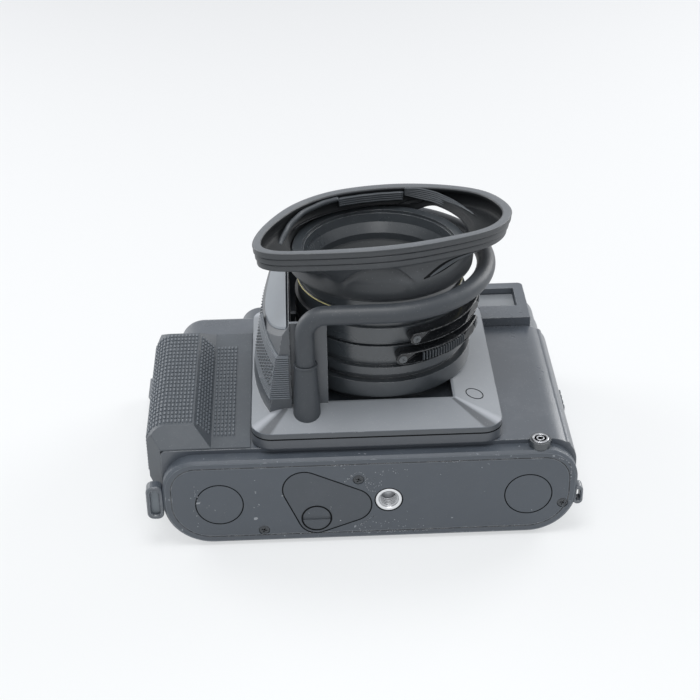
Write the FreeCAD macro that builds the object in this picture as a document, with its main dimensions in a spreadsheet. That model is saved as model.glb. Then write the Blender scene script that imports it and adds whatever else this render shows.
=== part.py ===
import FreeCAD, Part
import math
import os
import re

import Sketcher

# Medium format rangefinder camera, lying on its back.
# The origin is where the lens axis meets the plane that the back rests on.
# +Z runs along the lens axis, +Y towards the camera's top, +X to the viewer's right.

SIZES = {
    # camera body, measured from the lens axis
    "body_left": 75.7,
    "body_right": 63.6,
    "body_low": 48.3,
    "shell_top": 30.7,
    "shoulder_top": 44.7,
    "body_front": 36.0,
    "cover_front": 34.4,
    "cover_back": 1.0,
    "cover_side": 5.0,
    "cover_corner": 11.5,
    "front_corner": 9.0,
    "rear_corner": 16.5,
    "edge_bevel": 0.8,
    "wall": 1.6,
    "seam": 0.2,
    "fit": 0.05,
    "loose": 0.3,
    # film path
    "spool_left": 56.9,
    "spool_right": 47.1,
    "spool_level": 17.0,
    "chamber_radius": 13.0,
    "chamber_half": 33.3,
    "core_back": 3.2,
    "gate_seat": 11.0,
    "gate_thickness": 2.0,
    "rail_height": 0.8,
    "rail_width": 1.6,
    "frame_width": 41.5,
    "frame_height": 56.0,
    "light_box_width": 48.0,
    "light_box_height": 61.0,
    "spool_radius": 12.6,
    "spool_core": 5.7,
    "spool_length": 65.0,
    "spool_flange": 0.8,
    "stud_radius": 2.0,
    "stud_reach": 2.4,
    "spool_slot": 1.2,
    "spool_slot_length": 40.0,
    # back door
    "door_line": 14.0,
    "door_wall": 1.8,
    "hinge_out": 1.6,
    "hinge_radius": 1.5,
    "hinge_pin_radius": 0.8,
    "hinge_low": 38.0,
    "hinge_high": 26.0,
    "hinge_knuckle": 18.0,
    "plate_width": 60.0,
    "plate_height": 63.0,
    "plate_thickness": 2.0,
    "film_gap": 0.4,
    "latch_length": 16.0,
    "latch_height": 7.0,
    "latch_depth": 1.8,
    "memo_width": 40.0,
    "memo_height": 34.0,
    "memo_depth": 0.8,
    "memo_across": -34.0,
    "memo_border": 3.0,
    "leaf_thickness": 0.3,
    "leaf_width": 6.0,
    "leaf_foot": 2.0,
    "latch_level": 17.5,
    "latch_ribs": 4,
    "latch_rib": 1.6,
    "latch_rib_pitch": 3.2,
    "latch_rib_inset": 2.0,
    "latch_rib_margin": 1.0,
    # bottom plate
    "bush_radius": 4.49,
    "bush_bore": 2.6,
    "bush_length": 9.0,
    "bush_level": 16.7,
    "cap_radius": 7.84,
    "cap_gap": 0.15,
    "cap_flange": 1.2,
    "sync_across": 50.8,
    "sync_drop": 44.5,
    "sync_radius": 3.6,
    "sync_ring": 2.85,
    "sync_bore": 2.1,
    "sync_pin": 0.9,
    "sync_top": 37.2,
    "sync_collar_step": 0.3,
    "sync_pin_step": 0.6,
    "cell_across": 19.0,
    "cell_level": 18.5,
    "cell_radius": 5.8,
    "cell_height": 5.4,
    "cell_crown": 0.5,
    "cell_crown_radius": 4.9,
    "cell_count": 2,
    "lobe_one_across": 28.4,
    "lobe_one_level": 22.0,
    "lobe_one_radius": 7.0,
    "lobe_two_across": 12.4,
    "lobe_two_level": 15.0,
    "lobe_two_radius": 6.5,
    "coin_across": 24.4,
    "coin_level": 10.0,
    "lobe_three_radius": 6.0,
    "coin_screw_radius": 4.7,
    "coin_screw_hole": 5.2,
    "coin_shank": 2.4,
    "coin_reach": 4.0,
    "slot_width": 1.4,
    "lug_left_reach": 5.2,
    "lug_right_reach": 3.4,
    "lug_bar": 1.3,
    "lug_back": 11.5,
    "lug_front": 24.7,
    "screw_one_across": 10.1,
    "screw_one_level": 25.3,
    "screw_two_across": 42.3,
    "screw_two_level": 5.7,
    "screw_three_across": 58.9,
    "screw_three_level": 12.8,
    "screw_head": 1.85,
    "screw_head_depth": 1.0,
    "screw_shank": 1.0,
    "screw_length": 8.0,
    # top cover and finder
    "top_wall": 1.2,
    "spigot_fit": 0.1,
    "top_inset_left": 2.7,
    "top_inset_right": 1.7,
    "spigot_top": 37.0,
    "finder_left": 22.0,
    "finder_top": 57.0,
    "finder_back": 2.0,
    "bezel_left": 18.0,
    "bezel_right": 57.3,
    "bezel_step": 39.2,
    "bezel_low": 38.8,
    "bezel_front": 39.5,
    "recess_depth": 3.4,
    "hump_corner": 4.0,
    "hump_round": 2.5,
    "shoulder_round": 3.0,
    "bezel_round": 2.0,
    "finder_window_left": 36.0,
    "finder_window_right": 52.5,
    "finder_window_low": 40.8,
    "finder_window_high": 52.0,
    "frame_window_left": 14.0,
    "frame_window_right": 6.0,
    "range_window_left": 13.0,
    "range_window_right": 24.0,
    "small_window_low": 43.0,
    "window_margin": 1.0,
    "pane_lap": 0.6,
    "pane_thickness": 1.0,
    "pedestal_top": 60.7,
    "shoe_slot": 18.65,
    "shoe_throat": 12.5,
    "shoe_gap": 2.1,
    "shoe_plate": 1.5,
    "shoe_lip": 1.4,
    "shoe_side": 1.5,
    "shoe_length": 18.5,
    "shoe_level": 9.0,
    "eyepiece_radius": 8.0,
    "eyepiece_sight": 5.4,
    "eyepiece_across": 46.0,
    "eyepiece_up": 47.2,
    "eyepiece_back": 0.4,
    "contact_radius": 2.0,
    "turret_across": 42.9,
    "turret_level": 28.0,
    "turret_radius": 7.5,
    "turret_height": 6.6,
    "button_radius": 4.3,
    "button_rise": 1.4,
    "cable_thread": 1.5,
    "cable_depth": 3.0,
    "lever_hub_radius": 9.0,
    "lever_hub_height": 4.2,
    "lever_reach": 31.0,
    "lever_width": 8.0,
    "lever_thickness": 2.2,
    "lever_angle": 203.0,
    "lever_pad": 3.5,
    "lever_drop": 14.0,
    "lever_neck": 6.0,
    "lever_cap": 0.8,
    "lever_shaft": 3.0,
    "counter_across": 32.0,
    "counter_level": 13.0,
    "counter_window_radius": 4.2,
    "counter_disc_radius": 9.0,
    "counter_disc_thickness": 0.9,
    "counter_shaft": 1.2,
    "counter_rise": 0.2,
    # grip
    "grip_inner": 45.7,
    "grip_foot": 58.9,
    "grip_ridge": 64.4,
    "grip_rise": 6.5,
    "grip_skin": 0.6,
    "grip_out": 4.7,
    "grip_round": 6.5,
    "grip_low": 17.6,
    "grip_slope_low": 5.5,
    "grip_slope_high": 8.4,
    # lens box
    "box_left": 45.2,
    "box_right": 38.6,
    "box_low": 45.0,
    "box_high": 38.0,
    "box_corner": 7.0,
    "box_seam": 40.2,
    "box_crease": 42.4,
    "rim_level": 46.3,
    "rim_left": 33.0,
    "rim_right": 23.6,
    "rim_low": 32.6,
    "rim_high": 28.0,
    "rim_width": 0.9,
    "well_floor": 42.0,
    # tower on the left of the lens
    "tower_inner": 31.4,
    "tower_half": 34.5,
    "tower_bulge": 41.0,
    "tower_end": 35.6,
    "tower_taper": 0.17,
    "tower_top": 77.6,
    "tower_slope": 1.43,
    "web_out": 19.2,
    "web_wall": 1.5,
    "web_half": 32.9,
    "tower_grip_low": 50.0,
    "tower_grip_high": 66.5,
    "tower_grip_reach": 30.0,
    "tower_rib_count": 20,
    "tower_rib_skin": 0.9,
    "tower_grip_gap": 0.6,
    "tower_rib_share": 0.6,
    "plate_skin": 0.5,
    "plate_inset": 0.9,
    # bumper bar
    "bar_radius": 3.2,
    "bar_reach": 36.1,
    "bar_level": 82.0,
    "bar_leg": 26.5,
    "bar_elbow": 7.0,
    "post_radius": 3.6,
    "post_foot": 4.7,
    "post_top": 64.0,
    "post_socket": 14.0,
    # lens
    "tube_radius": 24.5,
    "mount_radius": 26.0,
    "base_round": 0.8,
    "base_ring_radius": 31.0,
    "base_ring_low": 46.7,
    "base_ring_high": 52.4,
    "second_ring_radius": 30.0,
    "second_ring_low": 54.8,
    "second_ring_high": 57.6,
    "ring_radius": 29.3,
    "ring_gap": 0.15,
    "ring_groove": 1.0,
    "flange_inset": 0.7,
    "focus_low": 60.0,
    "focus_high": 65.4,
    "head_low": 48.0,
    "flange_high": 66.9,
    "aperture_high": 72.3,
    "speed_radius": 28.2,
    "speed_high": 77.9,
    "nose_radius": 27.6,
    "nose_top": 87.0,
    "lever_arc_reach": 34.0,
    "lever_arc_height": 4.4,
    "focus_lever_from": -84.0,
    "focus_lever_to": -14.0,
    "aperture_lever_from": -76.0,
    "aperture_lever_to": -6.0,
    "lever_screw_radius": 1.4,
    "lever_screw_inset": 5.0,
    "lever_screw_depth": 1.0,
    "lever_screw_rise": 0.2,
    "focus_lever_lift": 0.5,
    "aperture_lever_lift": 0.6,
    "blade_count": 5,
    "blade_pivot": 19.5,
    "blade_outer": 21.0,
    "blade_inner": 12.0,
    "blade_span": 58.0,
    "blade_thickness": 0.15,
    "blade_pitch": 0.35,
    "iris_bore": 10.0,
    "iris_chamber": 22.4,
    "iris_floor": 16.0,
    "iris_base": 1.6,
    "iris_cover": 0.8,
    "iris_cover_bore": 13.0,
    "blade_eye": 1.4,
    "blade_pin": 0.45,
    "blade_pin_depth": 1.2,
    "cell_bore": 23.4,
    "baffle_step": 0.5,
    "baffle_lean": 1.2,
    "baffle_depth": 3.0,
    "cell_depth": 6.5,
    "cell_seat": 6.0,
    "rear_cell": 8.0,
    "rear_lip": 2.0,
    "rear_lip_width": 1.2,
    "name_ring_depth": 3.0,
    "name_ring_rise": 2.2,
    "name_ring_edge": 1.5,
    "name_ring_land": 1.0,
    "name_ring_step": 0.6,
    "name_ring_lip": 0.2,
    "glass_radius": 16.0,
    "glass_top": 76.0,
    "glass_curve": 42.0,
    "glass_thickness": 5.0,
    "rear_glass_radius": 15.0,
    "hood_ring_radius": 30.0,
    "hood_ring_low": 82.9,
    "hood_ring_high": 87.4,
    "hood_ring_bevel": 0.4,
    "front_face": 88.0,
    "front_sight": 26.4,
    # rubber hood
    "hood_skin": 1.3,
    "hood_band": 7.0,
    "hood_waist": 0.8,
    "hood_seat": 0.6,
    "hood_corner": 51.3,
    "hood_steps": 40,
    "hood_level": 99.6,
    "hood_tilt": 0.115,
}

doc = FreeCAD.newDocument("rangefinder_camera")
sheet = doc.addObject("Spreadsheet::Sheet", "sizes")
for row, (alias, number) in enumerate(SIZES.items(), start=1):
    sheet.set(f"A{row}", alias)
    sheet.set(f"B{row}", str(number))
    sheet.setAlias(f"B{row}", alias)
doc.recompute()

V = FreeCAD.Vector
WORD = re.compile(r"[a-z][a-z_]+")
nodes = []


def bound(formula):
    """A formula of size names, as an expression that reads the sheet."""
    return WORD.sub(lambda word: f"sizes.{word[0]}" if word[0] in SIZES else word[0], str(formula))


def value(formula):
    """The number that a formula of size names comes to now."""
    return float(sheet.evalExpression(bound(formula)))


def node(item, label):
    """Names a finished sub-part and lists it for export."""
    item.Label = label
    nodes.append(item)
    return item


# Sketched features

LOCAL_DOWN = {"XY": "", "XZ": "-", "YZ": ""}


def new_body(label):
    body = doc.addObject("PartDesign::Body", label)
    doc.recompute()
    return body


def new_sketch(body, plane, level):
    """A sketch on one of the body's own planes, moved along the plane's axis to a level."""
    sketch = body.newObject("Sketcher::SketchObject", body.Name + "_sketch")
    support = [item for item in body.Origin.OriginFeatures if item.Role == plane + "_Plane"]
    sketch.AttachmentSupport = [(support[0], "")]
    sketch.MapMode = "FlatFace"
    sketch.setExpression("AttachmentOffset.Base.z", bound(f"{LOCAL_DOWN[plane]}({level})"))
    return sketch


def pin_point(sketch, geometry, point, across, up):
    """Ties one sketch point to two formulas."""
    for kind, formula in (("DistanceX", across), ("DistanceY", up)):
        index = sketch.addConstraint(Sketcher.Constraint(kind, geometry, point, value(formula)))
        sketch.setExpression(f"Constraints[{index}]", bound(formula))


def draw_polygon(sketch, corners):
    spots = [V(value(across), value(up), 0) for across, up in corners]
    first = sketch.GeometryCount
    count = len(spots)
    for index in range(count):
        sketch.addGeometry(Part.LineSegment(spots[index], spots[(index + 1) % count]), False)
    for index in range(count):
        joint = Sketcher.Constraint("Coincident", first + index, 2, first + (index + 1) % count, 1)
        sketch.addConstraint(joint)
    for index, (across, up) in enumerate(corners):
        pin_point(sketch, first + index, 1, across, up)


def draw_rounded(sketch, sides, radii):
    """A rectangle with an arc at each corner: sides left, right, low, high, then four radii."""
    left, right, low, high = sides
    corners = [(left, low, 1, 1), (right, low, -1, 1), (right, high, -1, -1), (left, high, 1, -1)]
    ends = []
    arcs = []
    for (across, up, inward, upward), radius in zip(corners, radii):
        upright = (across, f"({up}) + {upward} * ({radius})")
        level = (f"({across}) + {inward} * ({radius})", up)
        ends.append((upright, level) if inward == upward else (level, upright))
        size = value(radius)
        centre = V(value(across) + inward * size, value(up) + upward * size, 0)
        turn = math.pi / 2 * (len(arcs) + 2)
        arcs.append(Part.ArcOfCircle(Part.Circle(centre, V(0, 0, 1), size), turn, turn + math.pi / 2))
    for index in range(4):
        start = ends[index][1]
        finish = ends[(index + 1) % 4][0]
        spots = [V(value(spot[0]), value(spot[1]), 0) for spot in (start, finish)]
        sketch.addGeometry(Part.LineSegment(*spots), False)
        pin_point(sketch, index, 1, *start)
        pin_point(sketch, index, 2, *finish)
    for index, arc in enumerate(arcs):
        sketch.addGeometry(arc, False)
        sketch.addConstraint(Sketcher.Constraint("Coincident", 4 + index, 1, (index + 3) % 4, 2))
        sketch.addConstraint(Sketcher.Constraint("Coincident", 4 + index, 2, index, 1))
        size = sketch.addConstraint(Sketcher.Constraint("Radius", 4 + index, value(radii[index])))
        sketch.setExpression(f"Constraints[{size}]", bound(radii[index]))


def draw_circle(sketch, centre, radius):
    spot = V(value(centre[0]), value(centre[1]), 0)
    index = sketch.addGeometry(Part.Circle(spot, V(0, 0, 1), value(radius)), False)
    pin_point(sketch, index, 3, *centre)
    size = sketch.addConstraint(Sketcher.Constraint("Radius", index, value(radius)))
    sketch.setExpression(f"Constraints[{size}]", bound(radius))


def feature(body, plane, start, end, cut, draw):
    """A pad or a pocket between two levels of a plane's own axis."""
    falls = (plane != "XZ") == cut
    sketch = new_sketch(body, plane, end if falls and cut else start)
    draw(sketch)
    kind = "PartDesign::Pocket" if cut else "PartDesign::Pad"
    step = body.newObject(kind, body.Name + ("_pocket" if cut else "_pad"))
    step.Profile = sketch
    step.setExpression("Length", bound(f"({end}) - ({start})"))
    step.Reversed = plane == "XZ" and not cut
    doc.recompute()
    return step


def pad(body, plane, corners, start, end):
    return feature(body, plane, start, end, False, lambda sketch: draw_polygon(sketch, corners))


def pocket(body, plane, corners, start, end):
    return feature(body, plane, start, end, True, lambda sketch: draw_polygon(sketch, corners))


def round_pad(body, plane, centre, radius, start, end):
    return feature(body, plane, start, end, False, lambda sketch: draw_circle(sketch, centre, radius))


def round_pocket(body, plane, centre, radius, start, end):
    return feature(body, plane, start, end, True, lambda sketch: draw_circle(sketch, centre, radius))


def soft_pad(body, plane, sides, radii, start, end):
    return feature(body, plane, start, end, False, lambda sketch: draw_rounded(sketch, sides, radii))


def soft_pocket(body, plane, sides, radii, start, end):
    return feature(body, plane, start, end, True, lambda sketch: draw_rounded(sketch, sides, radii))


def rectangle(left, right, low, high):
    return [(left, low), (right, low), (right, high), (left, high)]


def runs_along(edge, axis):
    """True for a straight edge along X, Y or Z."""
    if edge.Curve.TypeId != "Part::GeomLine":
        return False
    return abs(edge.Curve.Direction.dot(V(*[letter == axis for letter in "XYZ"]))) > 0.999


def soften(body, kind, wanted, sizing):
    """Rounds or bevels the edges of the body's last feature that a test picks."""
    tip = body.Tip
    picked = [f"Edge{place}" for place, edge in enumerate(tip.Shape.Edges, start=1) if wanted(edge)]
    step = body.newObject(f"PartDesign::{kind}", f"{body.Name}_{kind.lower()}")
    step.Base = (tip, picked)
    step.setExpression("Radius" if kind == "Fillet" else "Size", bound(sizing))
    doc.recompute()
    return step


def turned(label, profile, angle=360):
    """A body of revolution about the lens axis, from (radius, height) corners."""
    body = new_body(label)
    sketch = new_sketch(body, "XZ", "0")
    draw_polygon(sketch, profile)
    spin = body.newObject("PartDesign::Revolution", label + "_turn")
    spin.Profile = sketch
    axis = [item for item in body.Origin.OriginFeatures if item.Role == "Z_Axis"]
    spin.ReferenceAxis = (axis[0], [""])
    spin.Angle = angle
    doc.recompute()
    return body


# Primitives and booleans

TURNS = {
    "X": FreeCAD.Rotation(V(0, 1, 0), 90),
    "Y": FreeCAD.Rotation(V(1, 0, 0), -90),
    "Z": FreeCAD.Rotation(),
}


def set_base(item, across, up, out):
    for letter, formula in zip("xyz", (across, up, out)):
        item.setExpression(f"Placement.Base.{letter}", bound(formula))


def block(left, right, low, high, back, front):
    item = doc.addObject("Part::Box", "block")
    item.setExpression("Length", bound(f"({right}) - ({left})"))
    item.setExpression("Width", bound(f"({high}) - ({low})"))
    item.setExpression("Height", bound(f"({front}) - ({back})"))
    set_base(item, left, low, back)
    return item


def rod(axis, centre, radius, start, end):
    """A cylinder along an axis; the centre gives the two other coordinates in X, Y, Z order."""
    item = doc.addObject("Part::Cylinder", "rod")
    item.setExpression("Radius", bound(radius))
    item.setExpression("Height", bound(f"({end}) - ({start})"))
    item.Placement = FreeCAD.Placement(V(), TURNS[axis])
    place = list(centre)
    place.insert("XYZ".index(axis), start)
    set_base(item, *place)
    return item


def fused(*parts):
    item = doc.addObject("Part::MultiFuse", "joined")
    item.Shapes = list(parts)
    item.Refine = True
    return item


def less(base, *tools):
    item = doc.addObject("Part::Cut", "trimmed")
    item.Base = base
    item.Tool = tools[0] if len(tools) == 1 else fused(*tools)
    return item


def overlap(first, second):
    item = doc.addObject("Part::Common", "shared")
    item.Base = first
    item.Tool = second
    return item


def shaped(shape, label="form"):
    """A feature whose shape is worked out here from the sheet's values."""
    item = doc.addObject("Part::Feature", label)
    item.Shape = shape
    return item


# Camera body

LEFT = "-body_left"
RIGHT = "body_right"
COVER_LOW = "-body_low"
COVER_HIGH = "cover_side - body_low"
SPOOLS = ("-spool_left", "spool_right")
SCREWS = (
    ("-screw_one_across", "screw_one_level"),
    ("-screw_two_across", "screw_two_level"),
    ("screw_three_across", "screw_three_level"),
)


def make_body_shell():
    """The main casting: film chambers open to the back and the light box through the middle."""
    body = new_body("body_shell_casting")
    inset = "door_wall + loose"
    core = (f"{LEFT} + {inset}", f"{RIGHT} - ({inset})", "core_back", "body_front - wall")
    soft_pad(body, "XZ", core, ["rear_corner - core_back"] * 2 + ["wall"] * 2, COVER_HIGH, "shell_top")
    front = (LEFT, RIGHT, "door_line + seam", "body_front")
    soft_pad(body, "XZ", front, ["wall", "wall", "front_corner", "wall"], COVER_HIGH, "shell_top")
    spigot = (f"{LEFT} + top_inset_left + top_wall + spigot_fit",
              f"{RIGHT} - top_inset_right - top_wall - spigot_fit",
              "core_back + wall", "body_front - top_wall - spigot_fit")
    spigot_radii = ["rear_corner - core_back"] * 2 + ["front_corner - top_wall"] * 2
    soft_pad(body, "XZ", spigot, spigot_radii, "shell_top", "spigot_top")
    for across in SPOOLS:
        round_pocket(body, "XZ", (across, "spool_level"), "chamber_radius",
                     "-chamber_half", "chamber_half")
        pocket(body, "XZ",
               rectangle(f"{across} - chamber_radius", f"{across} + chamber_radius",
                         "-1", "spool_level"),
               "-chamber_half", "chamber_half")
        round_pocket(body, "XZ", (across, "spool_level"), "stud_radius + fit",
                     COVER_HIGH, "-chamber_half")
        round_pad(body, "XZ", (across, "spool_level"), "stud_radius",
                  "chamber_half - stud_reach", "chamber_half")
    pocket(body, "XY", rectangle("-spool_left", "spool_right", "-chamber_half", "chamber_half"),
           "0", "gate_seat")
    pocket(body, "XY",
           rectangle("-light_box_width / 2", "light_box_width / 2",
                     "-light_box_height / 2", "light_box_height / 2"),
           "gate_seat - 1", "body_front + 1")
    round_pocket(body, "XZ", ("0", "bush_level"), "bush_radius + fit",
                 COVER_HIGH, "bush_length - body_low")
    round_pocket(body, "XZ", ("-cell_across", "cell_level"), "cell_radius + cap_gap",
                 COVER_HIGH, "cell_count * cell_height + wall - body_low + fit + 1")
    round_pocket(body, "XZ", ("-coin_across", "coin_level"), "coin_shank + fit",
                 COVER_HIGH, f"{COVER_HIGH} + coin_reach + 1")
    round_pocket(body, "XY", ("sync_across", "-sync_drop"), "sync_radius + fit",
                 "cover_front", "body_front + 1")
    for across, level in SCREWS:
        round_pocket(body, "XZ", (across, level), "screw_shank + fit",
                     COVER_HIGH, "screw_length - body_low + 1")
    return body


def make_spool_carriers():
    """The empty spool that takes up the film, and the stud under each chamber that a spool turns on."""
    centre = (SPOOLS[0], "spool_level")
    spool = fused(rod("Y", centre, "spool_core", "-spool_length / 2", "spool_length / 2"),
                  rod("Y", centre, "spool_radius", "-spool_length / 2", "spool_flange - spool_length / 2"),
                  rod("Y", centre, "spool_radius", "spool_length / 2 - spool_flange", "spool_length / 2"))
    slot = block("-spool_left - spool_slot / 2", "-spool_left + spool_slot / 2",
                 "-spool_slot_length / 2", "spool_slot_length / 2",
                 "spool_level - spool_core - 1", "spool_level + spool_core + 1")
    bore = rod("Y", centre, "stud_radius + fit", "-spool_length", "spool_length")
    node(less(spool, slot, bore), "take_up_spool")
    studs = [rod("Y", (across, "spool_level"), "stud_radius", COVER_HIGH, "stud_reach - chamber_half")
             for across in SPOOLS]
    node(fused(*studs), "spool_studs")


def lobed_face(grow):
    """The battery cover's outline, one band round three discs, as a face in the XZ plane."""
    discs = [
        (V(-value("coin_across"), 0, value("coin_level")), value("lobe_three_radius") + grow),
        (V(-value("lobe_two_across"), 0, value("lobe_two_level")), value("lobe_two_radius") + grow),
        (V(-value("lobe_one_across"), 0, value("lobe_one_level")), value("lobe_one_radius") + grow),
    ]
    sides = []
    for index, (centre, radius) in enumerate(discs):
        other, other_radius = discs[(index + 1) % 3]
        way = other - centre
        lean = (radius - other_radius) / way.Length
        way.normalize()
        out = V(way.z, 0, -way.x) * math.sqrt(1 - lean * lean) + way * lean
        sides.append((centre + out * radius, other + out * other_radius, out))
    edges = []
    for index, (start, finish, out) in enumerate(sides):
        centre, radius = discs[(index + 1) % 3]
        next_out = sides[(index + 1) % 3][2]
        middle = out + next_out
        middle.normalize()
        edges.append(Part.LineSegment(start, finish).toShape())
        arc = Part.Arc(finish, centre + middle * radius, centre + next_out * radius)
        edges.append(arc.toShape())
    return Part.Face(Part.Wire(edges))


def lobed_prism(grow, start, end):
    """The battery cover's outline drawn out along Y from one level to another."""
    face = lobed_face(value(grow))
    face.translate(V(0, value(start), 0))
    return shaped(face.extrude(V(0, value(end) - value(start), 0)), "lobes")


def outline_sides(left, right, back, front, inset):
    """The sides of a body outline in the XZ plane, drawn in by an inset."""
    return (f"{left} + {inset}", f"{right} - ({inset})", f"{back} + {inset}", f"{front} - ({inset})")


def outline_radii(front, inset):
    """Its corner radii: the rear ones first, then the front ones."""
    return [f"rear_corner - ({inset})"] * 2 + [f"{front} - ({inset})"] * 2


def make_bottom_cover():
    """The bottom cover: a shallow tray with its own corner rounds."""
    body = new_body("bottom_cover_tray")
    edges = (LEFT, RIGHT, "cover_back", "cover_front")
    soft_pad(body, "XZ", outline_sides(*edges, "0"), outline_radii("cover_corner", "0"),
             COVER_LOW, COVER_HIGH)
    soften(body, "Chamfer",
           lambda edge: abs(edge.CenterOfMass.y + value("body_low")) < 0.01
           and max(abs(v.Point.y + value("body_low")) for v in edge.Vertexes) < 0.01, "edge_bevel")
    soft_pocket(body, "XZ", outline_sides(*edges, "wall"), outline_radii("cover_corner", "wall"),
                f"{COVER_LOW} + wall", f"{COVER_HIGH} + 1")
    round_pad(body, "XZ", ("0", "bush_level"), "bush_radius + wall", f"{COVER_LOW} + wall", COVER_HIGH)
    round_pocket(body, "XZ", ("0", "bush_level"), "bush_radius + fit", f"{COVER_LOW} - 1",
                 f"{COVER_HIGH} + 1")
    for across in SPOOLS:
        round_pocket(body, "XZ", (across, "spool_level"), "cap_radius + fit", f"{COVER_LOW} - 1",
                     f"{COVER_LOW} + wall + 1")
    for across, level in SCREWS:
        round_pad(body, "XZ", (across, level), "screw_head + wall / 2",
                  f"{COVER_LOW} + wall", COVER_HIGH)
        round_pocket(body, "XZ", (across, level), "screw_head + fit", f"{COVER_LOW} - 1",
                     f"{COVER_LOW} + screw_head_depth")
        round_pocket(body, "XZ", (across, level), "screw_shank + fit", f"{COVER_LOW} + screw_head_depth - 1",
                     f"{COVER_HIGH} + 1")
    opening = lobed_prism("cap_gap", f"{COVER_LOW} - 1", f"{COVER_LOW} + wall + 1")
    return less(body, opening)


def make_bottom_fittings():
    """What is let into the bottom cover: tripod bush, spool caps, battery cover and screws."""
    flush = COVER_LOW
    bush = less(rod("Y", ("0", "bush_level"), "bush_radius", flush, "bush_length - body_low"),
                rod("Y", ("0", "bush_level"), "bush_bore", f"{flush} - 1", "bush_length - body_low + 1"))
    node(bush, "tripod_bush")
    caps = []
    for across in SPOOLS:
        centre = (across, "spool_level")
        caps.append(rod("Y", centre, "cap_radius", flush, f"{flush} + wall"))
        caps.append(rod("Y", centre, "cap_radius + cap_flange", f"{flush} + wall", f"{flush} + 2 * wall"))
    node(fused(*caps), "spool_caps")
    lid = lobed_prism("0", flush, f"{flush} + wall")
    coin = ("-coin_across", "coin_level")
    lid_holes = [rod("Y", coin, "coin_screw_hole", f"{flush} - 1", f"{flush} + wall / 2"),
                 rod("Y", coin, "coin_shank + fit", f"{flush} - 1", f"{flush} + wall + 1")]
    node(less(lid, *lid_holes), "battery_cover")
    slot = block("-coin_across - coin_screw_radius - 1", "coin_screw_radius + 1 - coin_across",
                 f"{flush} - 1", f"{flush} + wall / 4", "coin_level - slot_width / 2",
                 "coin_level + slot_width / 2")
    head = fused(rod("Y", coin, "coin_screw_radius", flush, f"{flush} + wall / 2"),
                 rod("Y", coin, "coin_shank", flush, f"{COVER_HIGH} + coin_reach"))
    node(less(head, slot), "battery_screw")
    cells = []
    for index in range(int(value("cell_count"))):
        start = f"{flush} + wall + fit + {index} * cell_height"
        centre = ("-cell_across", "cell_level")
        cells.append(rod("Y", centre, "cell_radius", start, f"{start} + cell_height - cell_crown"))
        cells.append(rod("Y", centre, "cell_crown_radius", start, f"{start} + cell_height"))
    node(fused(*cells), "battery_cells")
    screws = []
    for centre in SCREWS:
        screws.append(rod("Y", centre, "screw_head", flush, f"{flush} + screw_head_depth"))
        screws.append(rod("Y", centre, "screw_shank", flush, "screw_length - body_low"))
    node(fused(*screws), "case_screws")


def make_strap_lugs():
    """A loop at each end of the camera for the strap; the strap goes through along Y."""
    loops = []
    for sign, side, reach in (("-", "body_left", "lug_left_reach"), ("", "body_right", "lug_right_reach")):
        if sign:
            spans = (f"-{side} - {reach}", f"-{side}", f"-{side} - {reach} + lug_bar", f"-{side} - lug_bar")
        else:
            spans = (side, f"{side} + {reach}", f"{side} + lug_bar", f"{side} + {reach} - lug_bar")
        outer = block(spans[0], spans[1], f"{COVER_LOW} + seam", f"{COVER_HIGH} - seam",
                      "lug_back", "lug_front")
        slot = block(spans[2], spans[3], f"{COVER_LOW} - 1", f"{COVER_HIGH} + 1",
                     "lug_back + 2 * lug_bar", "lug_front - 2 * lug_bar")
        loops.append(less(outer, slot))
    node(fused(*loops), "strap_lugs")


def make_sync_terminal():
    """The flash terminal on the front: a black collar, a bright ring and a centre pin."""
    centre = ("sync_across", "-sync_drop")
    collar = less(rod("Z", centre, "sync_radius", "cover_front", "sync_top - sync_collar_step"),
                  rod("Z", centre, "sync_ring + fit", "cover_front - 1", "sync_top + 1"))
    node(collar, "sync_collar")
    ring = less(rod("Z", centre, "sync_ring", "cover_front", "sync_top"),
                rod("Z", centre, "sync_bore", "cover_front + wall / 2", "sync_top + 1"))
    pin = rod("Z", centre, "sync_pin", "cover_front + wall / 2", "sync_top - sync_pin_step")
    node(fused(ring, pin), "sync_socket")


# Top cover and finder

COVER_LEFT = "-body_left + top_inset_left"
COVER_RIGHT = "body_right - top_inset_right"


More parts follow.
